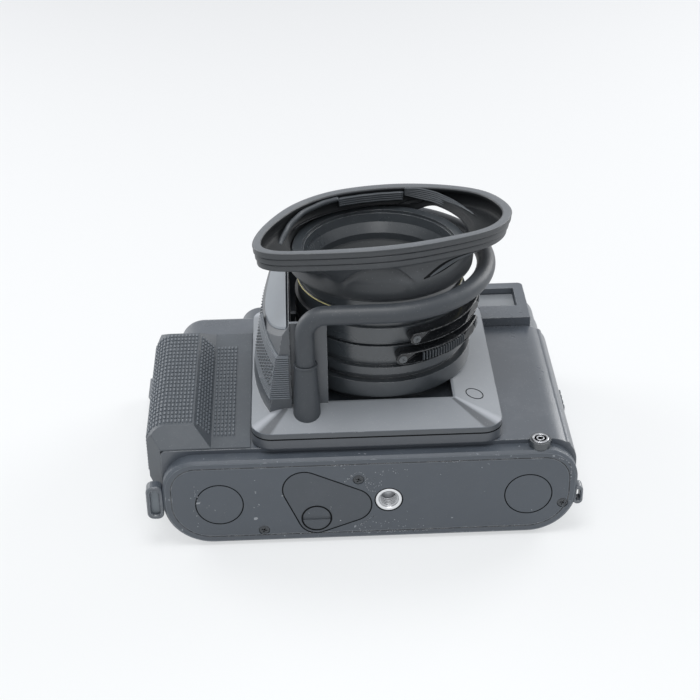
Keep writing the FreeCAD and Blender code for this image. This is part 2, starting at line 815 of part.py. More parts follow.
def make_top_cover():
    """The top cover: a shoulder over the whole width, the finder hump and its front bezel."""
    body = new_body("top_cover_shell")
    edges = (COVER_LEFT, COVER_RIGHT, "cover_back", "body_front")
    soft_pad(body, "XZ", outline_sides(*edges, "0"), outline_radii("front_corner", "0"),
             "shell_top + seam", "shoulder_top")
    soften(body, "Fillet",
           lambda edge: edge.BoundBox.YMin > value("shoulder_top") - 0.01, "shoulder_round")
    hump = ("-finder_left", COVER_RIGHT, "finder_back", "body_front - wall")
    soft_pad(body, "XZ", hump, ["hump_corner", "rear_corner", "front_corner", "hump_corner"],
             "shell_top + seam", "finder_top")
    soften(body, "Fillet",
           lambda edge: edge.BoundBox.YMin > value("finder_top") - 0.01, "hump_round")
    bezel = [("-bezel_left", "bezel_low"), ("bezel_step", "bezel_low"), ("bezel_step", "shell_top + seam"),
             ("bezel_right", "shell_top + seam"), ("bezel_right", "finder_top"),
             ("-bezel_left", "finder_top")]
    pad(body, "XY", bezel, "body_front - wall", "bezel_front")
    soften(body, "Fillet",
           lambda edge: runs_along(edge, "Z") and edge.CenterOfMass.z > value("body_front")
           and edge.CenterOfMass.y > value("finder_top") - 0.01, "bezel_round")
    inner = outline_sides(*edges, "top_wall")
    soft_pocket(body, "XZ", inner, outline_radii("front_corner", "top_wall"),
                "shell_top", "shoulder_top - wall")
    hollow = ("-finder_left + wall", f"{COVER_RIGHT} - wall", "finder_back + wall",
              "body_front - 2 * wall")
    soft_pocket(body, "XZ", hollow,
                ["hump_corner - wall", "rear_corner - wall", "front_corner - wall", "hump_corner - wall"],
                "shoulder_top - wall - 1", "finder_top - wall")
    for left, right, low, high in WINDOWS:
        pocket(body, "XY",
               rectangle(f"{left} - window_margin", f"{right} + window_margin",
                         f"{low} - window_margin", f"{high} + window_margin"),
               "bezel_front - recess_depth", "bezel_front + 1")
        pocket(body, "XY", rectangle(left, right, low, high), "body_front - 3 * wall", "body_front + 1")
    pedestal = rectangle("-shoe_slot / 2 - shoe_side", "shoe_slot / 2 + shoe_side",
                         "shoe_level", "shoe_level + shoe_length")
    pad(body, "XZ", pedestal, "finder_top - wall / 2", "pedestal_top")
    round_pocket(body, "XY", ("eyepiece_across", "eyepiece_up"), "eyepiece_radius + fit",
                 "0", "finder_back + wall / 2")
    round_pocket(body, "XY", ("eyepiece_across", "eyepiece_up"), "eyepiece_sight",
                 "0", "finder_back + wall + 1")
    for across, level, radius in (("-turret_across", "turret_level", "button_radius + fit"),
                                  ("-spool_left", "spool_level", "lever_shaft + fit"),
                                  ("-counter_across", "counter_level", "counter_window_radius + fit")):
        round_pocket(body, "XZ", (across, level), radius, "shoulder_top - wall - 1", "shoulder_top + 1")
    return body


# left, right, low and high of the finder, frame line and rangefinder windows
WINDOWS = (
    ("finder_window_left", "finder_window_right", "finder_window_low", "finder_window_high"),
    ("-frame_window_left", "frame_window_right", "small_window_low", "finder_window_high"),
    ("range_window_left", "range_window_right", "small_window_low", "finder_window_high"),
)


def make_finder_parts():
    """Windows in the bezel, the finder block behind them and the eyepiece at the back."""
    names = ("finder_window", "frameline_window", "rangefinder_window")
    floor = "bezel_front - recess_depth"
    for label, (left, right, low, high) in zip(names, WINDOWS):
        pane = block(f"{left} - pane_lap", f"{right} + pane_lap", f"{low} - pane_lap",
                     f"{high} + pane_lap", floor, f"{floor} + pane_thickness")
        node(pane, label)
    prism = block("-frame_window_left", "finder_window_right - wall",
                  "spigot_top", "finder_top - 2 * wall", "finder_back + 2 * wall", "body_front - 4 * wall")
    node(prism, "finder_block")
    centre = ("eyepiece_across", "eyepiece_up")
    ring = less(rod("Z", centre, "eyepiece_radius", "eyepiece_back", "finder_back + wall / 2"),
                rod("Z", centre, "eyepiece_sight", "0", "finder_back + wall"))
    node(ring, "eyepiece_ring")
    node(rod("Z", centre, "eyepiece_sight", "eyepiece_back + wall / 2",
             "eyepiece_back + wall / 2 + pane_thickness"), "eyepiece_glass")


def make_accessory_shoe():
    """The flash shoe: two rails with inward lips over a plate, and the contact in its middle."""
    body = new_body("accessory_shoe_channel")
    half = "shoe_slot / 2"
    throat = "shoe_throat / 2"
    plate = "pedestal_top + shoe_plate"
    lip = f"{plate} + shoe_gap"
    top = f"{lip} + shoe_lip"
    right = [(f"{half} + shoe_side", "pedestal_top"), (f"{half} + shoe_side", top), (throat, top),
             (throat, lip), (half, lip), (half, plate)]
    corners = right + [(f"-({across})", up) for across, up in reversed(right)]
    pad(body, "XY", corners, "shoe_level", "shoe_level + shoe_length")
    centre = ("0", "shoe_level + shoe_length / 2")
    round_pocket(body, "XZ", centre, "contact_radius", "pedestal_top - 1", "pedestal_top + shoe_plate + 1")
    node(body, "accessory_shoe")
    node(rod("Y", centre, "contact_radius", "pedestal_top", "pedestal_top + shoe_plate"), "shoe_contact")


def turned_spot(along, aside):
    """A spot on the advance lever, from its place along and beside the lever, as X and Z."""
    turn = math.radians(value("lever_angle"))
    ahead, across = math.cos(turn), math.sin(turn)
    return (f"-spool_left + ({along}) * {ahead:.6f} - ({aside}) * {across:.6f}",
            f"spool_level + ({along}) * {across:.6f} + ({aside}) * {ahead:.6f}")


def make_top_controls():
    """Shutter release in its turret, the advance lever and the frame counter."""
    turret = ("-turret_across", "turret_level")
    collar = rod("Y", turret, "turret_radius", "shoulder_top", "shoulder_top + turret_height")
    bore = rod("Y", turret, "button_radius + fit", "shoulder_top - 1", "shoulder_top + turret_height + 1")
    node(less(collar, bore), "button_collar")
    crown = "shoulder_top + turret_height + button_rise"
    button = less(rod("Y", turret, "button_radius", "shoulder_top", crown),
                  rod("Y", turret, "cable_thread", f"{crown} - cable_depth", f"{crown} + 1"))
    node(button, "shutter_button")

    hub = ("-spool_left", "spool_level")
    low = "shoulder_top + loose"
    crown = f"{low} + lever_thickness"
    body = new_body("advance_lever_arm")
    round_pad(body, "XZ", hub, "lever_hub_radius", low, "shoulder_top + lever_hub_height")
    arm = [("0", "-lever_width / 2"), ("lever_reach", "-lever_neck / 2"),
           ("lever_reach", "lever_neck / 2"), ("0", "lever_width / 2")]
    pad(body, "XZ", [turned_spot(*spot) for spot in arm], low, crown)
    tip = [("lever_reach - lever_pad", "-lever_neck / 2"), ("lever_reach", "-lever_neck / 2"),
           ("lever_reach", "lever_neck / 2"), ("lever_reach - lever_pad", "lever_neck / 2")]
    pad(body, "XZ", [turned_spot(*spot) for spot in tip], f"{crown} - lever_drop", crown)
    soften(body, "Fillet",
           lambda edge: edge.BoundBox.YMax < value(f"{crown} - lever_drop") + 0.01, "lever_pad / 3")
    round_pad(body, "XZ", hub, "lever_shaft", "spigot_top + loose", "shoulder_top + lever_hub_height - 1")
    round_pad(body, "XZ", hub, "lever_hub_radius / 2", "shoulder_top + lever_hub_height",
              "shoulder_top + lever_hub_height + lever_cap")
    node(body, "advance_lever")

    window = ("-counter_across", "counter_level")
    node(rod("Y", window, "counter_window_radius", "shoulder_top - wall",
             "shoulder_top + counter_rise"), "counter_window")
    face = "shoulder_top - wall - loose"
    disc = fused(rod("Y", window, "counter_disc_radius", f"{face} - counter_disc_thickness", face),
                 rod("Y", window, "counter_shaft", "spigot_top", face))
    node(disc, "counter_disc")


# Grip, film path and back door

HINGE = ("-body_left - hinge_out", "door_line + seam / 2")


def make_grip():
    """The hand grip: a ridge along the front that wraps round the camera's end."""
    body = new_body("grip_moulding")
    ridge = "body_front + grip_rise"
    foot = "body_front + grip_skin"
    outer = "-body_left - grip_out"
    section = [("-grip_inner", "body_front"), ("-grip_inner", foot), ("-grip_foot", foot),
               ("-grip_ridge", ridge), (outer, ridge), (outer, "grip_low + grip_out"),
               ("-body_left - hinge_out", "grip_low"), (LEFT, "grip_low"), (LEFT, "body_front")]
    pad(body, "XZ", section, f"{COVER_HIGH} + seam", "shell_top - seam")
    soften(body, "Fillet",
           lambda edge: runs_along(edge, "Y") and edge.CenterOfMass.x < value(outer) + 0.01
           and edge.CenterOfMass.z > value(ridge) - 0.01, "grip_round")
    for end, past, slope in (("shell_top - seam", "1", "-grip_slope_high"),
                             (f"{COVER_HIGH} + seam", "-1", "grip_slope_low")):
        over = [(f"{end} + {slope}", ridge), (end, foot), (f"{end} + {past}", foot),
                (f"{end} + {past}", f"{ridge} + 1"), (f"{end} + {slope}", f"{ridge} + 1")]
        pocket(body, "YZ", over, f"{outer} - 1", "-grip_inner + 1")
        beside = [(outer, f"{end} + {slope}"), (LEFT, end), (LEFT, f"{end} + {past}"),
                  (f"{outer} - 1", f"{end} + {past}"), (f"{outer} - 1", f"{end} + {slope}")]
        pocket(body, "XY", beside, "grip_low - 1", f"{ridge} + 1")
    return node(body, "grip_cover")


def make_film_gate():
    """The frame round the film opening, with two rails that the film slides on."""
    body = new_body("film_gate_plate")
    sides = ("chamber_radius + loose - spool_left", "spool_right - chamber_radius - loose",
             "loose - chamber_half", "chamber_half - loose")
    back = "gate_seat - gate_thickness"
    soft_pad(body, "XY", sides, ["wall"] * 4, back, "gate_seat")
    pocket(body, "XY", rectangle("-frame_width / 2", "frame_width / 2",
                                 "-frame_height / 2", "frame_height / 2"),
           f"{back} - 1", "gate_seat + 1")
    for sign in ("-", ""):
        near = f"{sign}(frame_height / 2 + rail_width / 2)"
        far = f"{sign}(frame_height / 2 + rail_width * 1.5)"
        low, high = (far, near) if sign else (near, far)
        pad(body, "XY", rectangle(sides[0], sides[1], low, high), f"{back} - rail_height", back)
    return node(body, "film_gate")


def make_back_door():
    """The door: a wide shallow channel that wraps round both film chambers."""
    body = new_body("back_door_panel")
    edges = (LEFT, RIGHT, "0", "door_line + rear_corner")
    radii = outline_radii("front_corner", "0")
    low = f"{COVER_HIGH} + seam"
    high = "shell_top - seam"
    soft_pad(body, "XZ", outline_sides(*edges, "0"), radii, low, high)
    soft_pocket(body, "XZ", outline_sides(*edges, "door_wall"), outline_radii("front_corner", "door_wall"),
                f"{low} - 1", f"{high} + 1")
    pocket(body, "XZ", rectangle(f"{LEFT} - 1", f"{RIGHT} + 1", "door_line", "door_line + 2 * rear_corner"),
           f"{low} - 1", f"{high} + 1")
    memo = rectangle("-memo_width / 2 + memo_across", "memo_width / 2 + memo_across",
                     "-memo_height / 2", "memo_height / 2")
    pocket(body, "XY", memo, "-1", "memo_depth")
    parts = [body]
    for start, end in (("-hinge_low", "-hinge_low + hinge_knuckle"),
                       ("hinge_high - hinge_knuckle", "hinge_high")):
        parts.append(rod("Y", HINGE, "hinge_radius", start, end))
        parts.append(block(HINGE[0], f"{LEFT} + wall / 2", start, end, "door_line - wall", "door_line"))
    bore = rod("Y", HINGE, "hinge_pin_radius + fit", "-hinge_low - 1", "hinge_high + 1")
    node(less(fused(*parts), bore), "back_door")
    node(rod("Y", HINGE, "hinge_pin_radius", "-hinge_low", "hinge_high"), "hinge_pin")

    frame = new_body("memo_holder_frame")
    inner = rectangle("-memo_width / 2 + memo_across + memo_border",
                      "memo_width / 2 + memo_across - memo_border",
                      "-memo_height / 2 + memo_border", "memo_height / 2 + 1")
    outer = ("-memo_width / 2 + memo_across + fit", "memo_width / 2 + memo_across - fit",
             "-memo_height / 2 + fit", "memo_height / 2 - fit")
    pad(frame, "XY", rectangle(*outer), "seam", "memo_depth")
    pocket(frame, "XY", inner, "seam - 1", "memo_depth / 2 + seam")
    node(frame, "memo_holder")


def with_hinge_knuckle(casting):
    """The middle knuckle of the door hinge, on the casting's side."""
    start = "-hinge_low + hinge_knuckle + loose"
    end = "hinge_high - hinge_knuckle - loose"
    knuckle = rod("Y", HINGE, "hinge_radius", start, end)
    leaf = block(HINGE[0], f"{LEFT} + wall", start, end, "door_line + seam", "door_line + seam + wall")
    bore = rod("Y", HINGE, "hinge_pin_radius + fit", "-hinge_low - 1", "hinge_high + 1")
    return less(fused(casting, knuckle, leaf), bore)


def make_door_fittings():
    """The pressure plate on its leaf springs, and the latch at the camera's other end."""
    face = "gate_seat - gate_thickness - rail_height - film_gap"
    plate = new_body("pressure_plate_form")
    across = "(spool_right - spool_left) / 2"
    sides = (f"{across} - plate_width / 2", f"{across} + plate_width / 2",
             "-plate_height / 2", "plate_height / 2")
    soft_pad(plate, "XY", sides, ["2 * wall"] * 4, f"{face} - plate_thickness", face)
    node(plate, "pressure_plate")
    springs = []
    for sign in ("-", ""):
        leaf = new_body("plate_spring_leaf")
        crown = f"{face} - plate_thickness - fit"
        half = "plate_width / 4"
        upper = [(f"{across} + {half}", "door_wall + leaf_thickness"),
                 (f"{across} + {half} / 2", crown), (f"{across} - {half} / 2", crown),
                 (f"{across} - {half}", "door_wall + leaf_thickness")]
        lower = [(f"{across} - {half}", "door_wall"),
                 (f"{across} - {half} + leaf_foot", "door_wall"),
                 (f"{across} - {half} / 2", f"{crown} - leaf_thickness"),
                 (f"{across} + {half} / 2", f"{crown} - leaf_thickness"),
                 (f"{across} + {half} - leaf_foot", "door_wall"),
                 (f"{across} + {half}", "door_wall")]
        middle = f"{sign}plate_height / 4"
        pad(leaf, "XZ", upper + lower, f"{middle} - leaf_width / 2", f"{middle} + leaf_width / 2")
        springs.append(leaf)
    node(fused(*springs), "plate_springs")
    latch = new_body("door_latch_slider")
    sides = ("-latch_length / 2", "latch_length / 2", "latch_level", "latch_level + latch_height")
    soft_pad(latch, "YZ", sides, ["wall"] * 4, RIGHT, f"{RIGHT} + latch_depth / 2")
    for index in range(int(value("latch_ribs"))):
        low = f"-latch_length / 2 + latch_rib_inset + {index} * latch_rib_pitch"
        rib = rectangle(low, f"{low} + latch_rib", "latch_level + latch_rib_margin",
                        "latch_level + latch_height - latch_rib_margin")
        pad(latch, "YZ", rib, f"{RIGHT} + latch_depth / 2", f"{RIGHT} + latch_depth")
    node(latch, "door_latch")


# Lens box, tower and bumper bar

BOX = ("-box_left", "box_right", "-box_low", "box_high")


def make_lens_box_base():
    """The frame between the camera's front and the lens box."""
    body = new_body("lens_box_base_frame")
    soft_pad(body, "XY", BOX, ["box_corner"] * 4, "body_front", "box_seam")
    soften(body, "Fillet", lambda edge: edge.BoundBox.ZMax < value("body_front") + 0.01, "base_round")
    pocket(body, "XY", rectangle("-light_box_width / 2", "light_box_width / 2",
                                 "-light_box_height / 2", "light_box_height / 2"),
           "body_front - 1", "box_seam + 1")
    return node(body, "lens_box_base")


def tower_block(grow):
    """The tower beside the lens: bulging outwards, and leaning in towards its top."""
    half = value("tower_half") + grow
    low = value("box_crease") - 1
    rise = value("tower_top") + value("wall") - low
    reach = value("box_left") - value("tower_inner")
    drift = value("tower_taper") * (value("post_top") - low)
    side = -value("tower_end") - drift - grow
    bulge = -value("tower_bulge") - drift - grow
    inner = -value("tower_inner") + min(grow, 0)
    corners = [V(inner + reach, half, low), V(inner + reach, -half, low), V(side, -half, low),
               V(side, half, low)]
    edges = [Part.LineSegment(corners[0], corners[1]).toShape(),
             Part.LineSegment(corners[1], corners[2]).toShape(),
             Part.Arc(corners[2], V(bulge, 0, low), corners[3]).toShape(),
             Part.LineSegment(corners[3], corners[0]).toShape()]
    leaning = Part.Face(Part.Wire(edges)).extrude(V(value("tower_taper") * rise, 0, rise))
    space = Part.makeBox(2 * reach, 2 * half + 2, rise + 2, V(inner - 2 * reach, -half - 1, low - 1))
    return leaning.common(space)


def slanted_slab(under, over):
    """The space between two levels parallel to the tower's slanted top."""
    inner = -value("tower_inner") + 1
    reach = 2 * (value("box_left") - value("tower_inner"))
    outer = inner - reach
    top = value("tower_top") + value("tower_slope")
    fall = value("tower_slope") * reach
    half = value("tower_half") + reach
    corners = [V(inner, -half, top + under), V(inner, -half, top + over),
               V(outer, -half, top - fall + over), V(outer, -half, top - fall + under)]
    face = Part.Face(Part.makePolygon(corners + corners[:1]))
    return face.extrude(V(0, 2 * half, 0))


def make_lens_box():
    """The box the lens stands in: sloping sides, a well, the tower and the bar's two posts."""
    body = new_body("lens_box_moulding")
    soft_pad(body, "XY", BOX, ["box_corner"] * 4, "box_seam", "box_crease")
    foot = new_sketch(body, "XY", "box_crease")
    draw_rounded(foot, BOX, ["box_corner"] * 4)
    rim = new_sketch(body, "XY", "rim_level")
    draw_rounded(rim, ("-rim_left", "rim_right", "-rim_low", "rim_high"), ["wall"] * 4)
    slope = body.newObject("PartDesign::AdditiveLoft", "lens_box_slope")
    slope.Profile = foot
    slope.Sections = [rim]
    slope.Ruled = True
    doc.recompute()
    tower = shaped(tower_block(0).cut(slanted_slab(0, value("tower_top"))), "tower")
    parts = [body, tower]
    for sign in ("-", ""):
        near, far = f"{sign}web_half", f"{sign}(web_half - web_wall)"
        low, high = (near, far) if sign else (far, near)
        parts.append(block("-tower_inner", "-web_out", low, high, "well_floor", "tower_top"))
        post = doc.addObject("Part::Cone", "post")
        post.setExpression("Radius1", bound("post_foot"))
        post.setExpression("Radius2", bound("post_radius"))
        post.setExpression("Height", bound("post_top - box_seam"))
        set_base(post, "-bar_leg", f"{sign}bar_reach", "box_seam")
        parts.append(post)
    well = block("-tower_inner", "rim_right - rim_width", "-rim_low + rim_width", "rim_high - rim_width",
                 "well_floor", "tower_top + 5")
    throat = rod("Z", ("0", "0"), "tube_radius - wall", "box_seam - 1", "well_floor + 1")
    seat = rod("Z", ("0", "0"), "mount_radius + seam", "well_floor", "rim_level + 1")
    sockets = [rod("Z", ("-bar_leg", f"{sign}bar_reach"), "bar_radius + fit",
                   "post_top - post_socket", "post_top + 1") for sign in ("-", "")]
    node(less(fused(*parts), well, throat, seat, *sockets), "lens_box")

    skin = value("plate_skin") * math.hypot(1, value("tower_slope"))
    node(shaped(tower_block(-value("plate_inset")).common(slanted_slab(0, skin))), "nameplate")
    node(shaped(ribbed_pad()), "tower_grip")


def ribbed_pad():
    """The finger grip: ribs that wrap round the tower's side and its near end."""
    low = value("tower_grip_low")
    high = value("tower_grip_high")
    count = int(value("tower_rib_count"))
    pitch = (high - low) / count
    tower = tower_block(0)
    skin = value("tower_rib_skin")
    near = -value("tower_inner") - value("tower_grip_gap")
    wide = value("box_left")

    def band(grow, start, end):
        corner = V(near - wide, -value("tower_half") - 2 * skin, start)
        return tower_block(grow).common(Part.makeBox(wide, value("tower_grip_reach"), end - start, corner))

    pad_shape = band(skin / 2, low, high)
    thick = pitch * value("tower_rib_share")
    ribs = [band(skin, low + pitch * index, low + pitch * index + thick) for index in range(count)]
    return pad_shape.multiFuse(ribs).cut(tower).removeSplitter()


def make_bumper_bar():
    """The bar that guards the lens: up from one post, round the lens, and down into the other."""
    reach = value("bar_reach")
    level = value("bar_level")
    leg = -value("bar_leg")
    elbow = value("bar_elbow")
    start = value("post_top") - value("post_socket") + value("loose")
    lean = elbow * math.sqrt(0.5)
    edges = []
    for sign in (-1, 1):
        side = sign * reach
        rise = Part.LineSegment(V(leg, side, start), V(leg, side, level - elbow)).toShape()
        bend = Part.Arc(V(leg, side, level - elbow),
                        V(leg + elbow - lean, side, level - elbow + lean),
                        V(leg + elbow, side, level)).toShape()
        run = Part.LineSegment(V(leg + elbow, side, level), V(0, side, level)).toShape()
        edges.append([rise, bend, run])
    quarter = reach * math.sqrt(0.5)
    rounds = [Part.Arc(V(0, -reach, level), V(quarter, -quarter, level), V(reach, 0, level)).toShape(),
              Part.Arc(V(reach, 0, level), V(quarter, quarter, level), V(0, reach, level)).toShape()]
    path = Part.Wire(Part.__sortEdges__(edges[0] + rounds + edges[1]))
    ring = Part.Wire(Part.makeCircle(value("bar_radius"), V(leg, -reach, start), V(0, 0, 1)))
    node(shaped(path.makePipeShell([ring], True, False)), "bumper_bar")


# Lens

def make_lens_rings():
    """The fixed mount, the focusing ring, the sliding barrel and the two rings that it carries."""
    bore = "tube_radius + fit"
    groove = "ring_radius - ring_groove"
    node(turned("lens_mount", [
        (bore, "well_floor"), ("mount_radius", "well_floor"), ("mount_radius", "base_ring_low"),
        ("base_ring_radius", "base_ring_low"), ("base_ring_radius", "base_ring_high"),
        (groove, "base_ring_high"), (groove, "second_ring_low"),
        ("second_ring_radius", "second_ring_low"), ("second_ring_radius", "second_ring_high"),
        (groove, "second_ring_high"), (groove, "focus_low - ring_gap"),
        ("mount_radius", "focus_low - ring_gap"), ("mount_radius", "focus_high"),
        (bore, "focus_high")]), "lens_mount")
    seat = "mount_radius + fit"
    for label, radius, low, high in (
            ("focus_ring", "ring_radius", "focus_low", "focus_high"),
            ("aperture_ring", "ring_radius", "flange_high + ring_gap", "aperture_high"),
            ("speed_ring", "speed_radius", "aperture_high + ring_gap", "speed_high")):
        node(turned(label, [(seat, low), (radius, low), (radius, high), (seat, high)]), label)
    step = "focus_high + ring_gap * 3"
    node(turned("lens_barrel", [
        ("rear_glass_radius - rear_lip_width", "head_low"), ("tube_radius", "head_low"),
        ("tube_radius", step),
        ("ring_radius - flange_inset", step), ("ring_radius - flange_inset", "flange_high"),
        ("mount_radius", "flange_high"), ("mount_radius", "speed_high + ring_gap"),
        ("nose_radius", "speed_high + ring_gap"), ("nose_radius", "nose_top"),
        ("front_sight - baffle_step", "nose_top"), ("front_sight - baffle_lean", "nose_top - baffle_depth"),
        ("cell_bore", "nose_top - cell_depth"), ("cell_bore", "glass_top - cell_seat"),
        ("iris_chamber", "glass_top - cell_seat"), ("iris_chamber", "head_low + rear_cell"),
        ("rear_glass_radius + fit", "head_low + rear_cell"),
        ("rear_glass_radius + fit", "head_low + rear_lip"),
        ("rear_glass_radius - rear_lip_width", "head_low + rear_lip")]), "lens_barrel")
    node(turned("name_ring", [
        ("glass_radius + fit", "glass_top - name_ring_depth"),
        ("cell_bore - fit", "glass_top - name_ring_depth"),
        ("cell_bore - fit", "glass_top + name_ring_rise"),
        ("cell_bore - name_ring_edge", "glass_top + name_ring_rise"),
        ("glass_radius + name_ring_land", "glass_top + name_ring_step"),
        ("glass_radius + fit", "glass_top + name_ring_lip")]),
        "name_ring")
    node(turned("hood_ring", [
        ("nose_radius + fit", "hood_ring_low"), ("hood_ring_radius", "hood_ring_low"),
        ("hood_ring_radius", "hood_ring_high"), ("hood_ring_radius - hood_ring_bevel", "front_face"),
        ("front_sight", "front_face"), ("front_sight", "nose_top + fit"),
        ("nose_radius + fit", "nose_top + fit")]), "hood_ring")


def make_glass():
    """The front element, domed forwards, and the rear element, domed backwards."""
    for label, radius, top, up in (("front_element", "glass_radius", "glass_top", 1),
                                   ("rear_element", "rear_glass_radius", "head_low + rear_lip", -1)):
        ball = doc.addObject("Part::Sphere", "dome")
        ball.setExpression("Radius", bound("glass_curve"))
        set_base(ball, "0", "0", f"{top} - {up} * glass_curve")
        start, end = f"{top} - glass_thickness", f"{top} + 1"
        if up < 0:
            start, end = f"{top} - 1", f"{top} + glass_thickness"
        node(overlap(rod("Z", ("0", "0"), radius, start, end), ball), label)


def lever_arc(label, low, start, end):
    """A finger lever on a ring: a curved bar with a screw near each end."""
    sweep = f"{end} - ({start})"
    arcs = []
    for radius, rise in (("lever_arc_reach", "0"), ("ring_radius", "1")):
        arc = rod("Z", ("0", "0"), radius, f"{low} - {rise}", f"{low} + lever_arc_height + {rise}")
        arc.setExpression("Angle", bound(sweep if rise == "0" else "360"))
        arcs.append(arc)
    turn = FreeCAD.Rotation(V(0, 0, 1), value(start))
    arcs[0].Placement = FreeCAD.Placement(arcs[0].Placement.Base, turn)
    set_base(arcs[0], "0", "0", low)
    heads = []
    holes = []
    middle = value(low) + value("lever_arc_height") / 2
    inset = value("lever_screw_inset")
    deep = value("lever_screw_depth")
    for angle in (value(start) + inset, value(end) - inset):
        way = V(math.cos(math.radians(angle)), math.sin(math.radians(angle)), 0)
        for store, radius, rise in ((heads, value("lever_screw_radius"), value("lever_screw_rise")),
                                    (holes, value("lever_screw_radius") + value("fit"), 1)):
            spot = way * (value("lever_arc_reach") - deep) + V(0, 0, middle)
            store.append(Part.makeCylinder(radius, deep + rise, spot, way))
    drill = shaped(Part.makeCompound(holes), "holes")
    node(less(arcs[0], arcs[1], drill), label)
    node(shaped(Part.makeCompound(heads)), label + "_screws")


def make_iris():
    """Five curved blades, each on its own level and its own pin, between two plates."""
    floor = value("head_low") + value("iris_floor")
    rim = value("iris_chamber") - value("fit")
    base = value("iris_base")
    cover = value("iris_cover")
    count = int(value("blade_count"))
    pitch = value("blade_pitch")
    pivot = value("blade_pivot")
    top = floor + pitch * (count + 1)
    housing = Part.makeCylinder(rim, top + cover - floor + base, V(0, 0, floor - base))
    housing = housing.cut(Part.makeCylinder(rim - cover, top - floor, V(0, 0, floor)))
    housing = housing.cut(Part.makeCylinder(value("iris_bore"), base + 2, V(0, 0, floor - base - 1)))
    housing = housing.cut(Part.makeCylinder(value("iris_cover_bore"), cover + 2, V(0, 0, top - 1)))
    depth = value("blade_pin_depth")
    pin_radius = value("blade_pin")
    for index in range(count):
        angle = 360.0 / count * index
        turn = FreeCAD.Rotation(V(0, 0, 1), angle)
        spot = turn.multVec(V(pivot, 0, 0))
        level = floor + pitch * (index + 0.5)
        ring = Part.makeCylinder(value("blade_outer"), value("blade_thickness"), V(), V(0, 0, 1),
                                 value("blade_span"))
        ring = ring.cut(Part.makeCylinder(value("blade_inner"), 2, V(0, 0, -1)))
        ring.Placement = FreeCAD.Placement(V(0, 0, level), turn)
        eye = Part.makeCylinder(value("blade_eye"), value("blade_thickness"), spot + V(0, 0, level))
        pin = Part.makeCylinder(pin_radius, level - floor + depth, spot + V(0, 0, floor - depth))
        node(shaped(ring.multiFuse([eye, pin]).removeSplitter()), f"iris_blade_{index + 1}")
        hole = Part.makeCylinder(pin_radius + value("fit"), base + 1, spot + V(0, 0, floor - base - 0.5))
        housing = housing.cut(hole)
    node(shaped(housing), "iris_housing")


# Rubber hood

# the bent rim's outline, from its corner beside the grip and round the lens front
RIM = (
    (-43.3, -23.2), (-40.2, -31.8), (-28.1, -33.4), (-1.1, -31.5), (20.1, -25.2), (37.3, -15.2),
    (42.7, 0.8), (37.3, 18.5), (24.2, 27.6), (5.0, 30.5), (-14.8, 25.3), (-29.0, 12.8), (-38.6, -6.0))


def closed_curve(spots):
    curve = Part.BSplineCurve()
    curve.interpolate(Points=spots, PeriodicFlag=True)
    return curve.toShape()


def make_rubber_hood():
    """The soft hood: a collar round the lens front and a bent, tilted, ribbed rim."""
    skin = value("hood_skin")
    collar = value("hood_ring_radius") + value("loose") + skin
    low = value("hood_ring_low") + value("hood_seat")
    mouth = value("front_face") + value("loose")
    scale = value("hood_corner") / max(math.hypot(*spot) for spot in RIM)
    rim = closed_curve([V(across, up, 0) * scale for across, up in RIM])
    spots = rim.discretize(int(value("hood_steps")) + 1)[:-1]

    def round_section(radius, level):
        return Part.Wire(closed_curve([spot * (radius / spot.Length) + V(0, 0, level) for spot in spots]))

    def rim_section(inset, drop):
        drawn = [spot * (1 - inset / spot.Length) for spot in spots]
        level = value("hood_level") - drop
        return Part.Wire(closed_curve([spot + V(0, 0, level - value("hood_tilt") * spot.y)
                                       for spot in drawn]))

    def shell(inset, extra):
        return Part.makeLoft([
            round_section(collar - inset, low - extra),
            round_section(collar - inset, mouth + skin - inset),
            rim_section(value("hood_waist") + inset, value("hood_band")),
            rim_section(inset, -extra)], True, True)

    node(shaped(shell(0, 0).cut(shell(skin, value("hood_seat")))), "rubber_hood")


# Everything together

node(with_hinge_knuckle(make_body_shell()), "body_shell")
node(make_bottom_cover(), "bottom_cover")
make_bottom_fittings()
make_strap_lugs()
make_sync_terminal()
node(make_top_cover(), "top_cover")
make_finder_parts()
make_accessory_shoe()
make_top_controls()
make_grip()
make_spool_carriers()
make_film_gate()
make_back_door()
make_door_fittings()
make_lens_box_base()
make_lens_box()
make_bumper_bar()
make_lens_rings()
make_glass()
lever_arc("focus_lever", "focus_low + focus_lever_lift", "focus_lever_from", "focus_lever_to")
lever_arc("aperture_lever", "flange_high + aperture_lever_lift", "aperture_lever_from", "aperture_lever_to")
make_iris()
make_rubber_hood()
doc.recompute()

for item in doc.Objects:
    if "Invalid" in item.State or "Error" in item.State:
        raise RuntimeError(f"{item.Label} failed")
for item in nodes:
    if item.Shape.isNull() or not item.Shape.isValid() or not item.Shape.Solids:
        raise RuntimeError(f"{item.Label} has no valid shape")

os.makedirs("parts", exist_ok=True)
for item in nodes:
    solids = item.Shape.Solids
    shape = solids[0] if len(solids) == 1 else Part.makeCompound(solids)
    shape.exportStep(f"parts/{item.Label}.step")
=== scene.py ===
"""Dresses the medium format rangefinder camera: finishes, soft parts and trim, in a plain studio."""

import math
import random

import bmesh
import bpy
from mathutils import Matrix, Vector
from mathutils.bvhtree import BVHTree


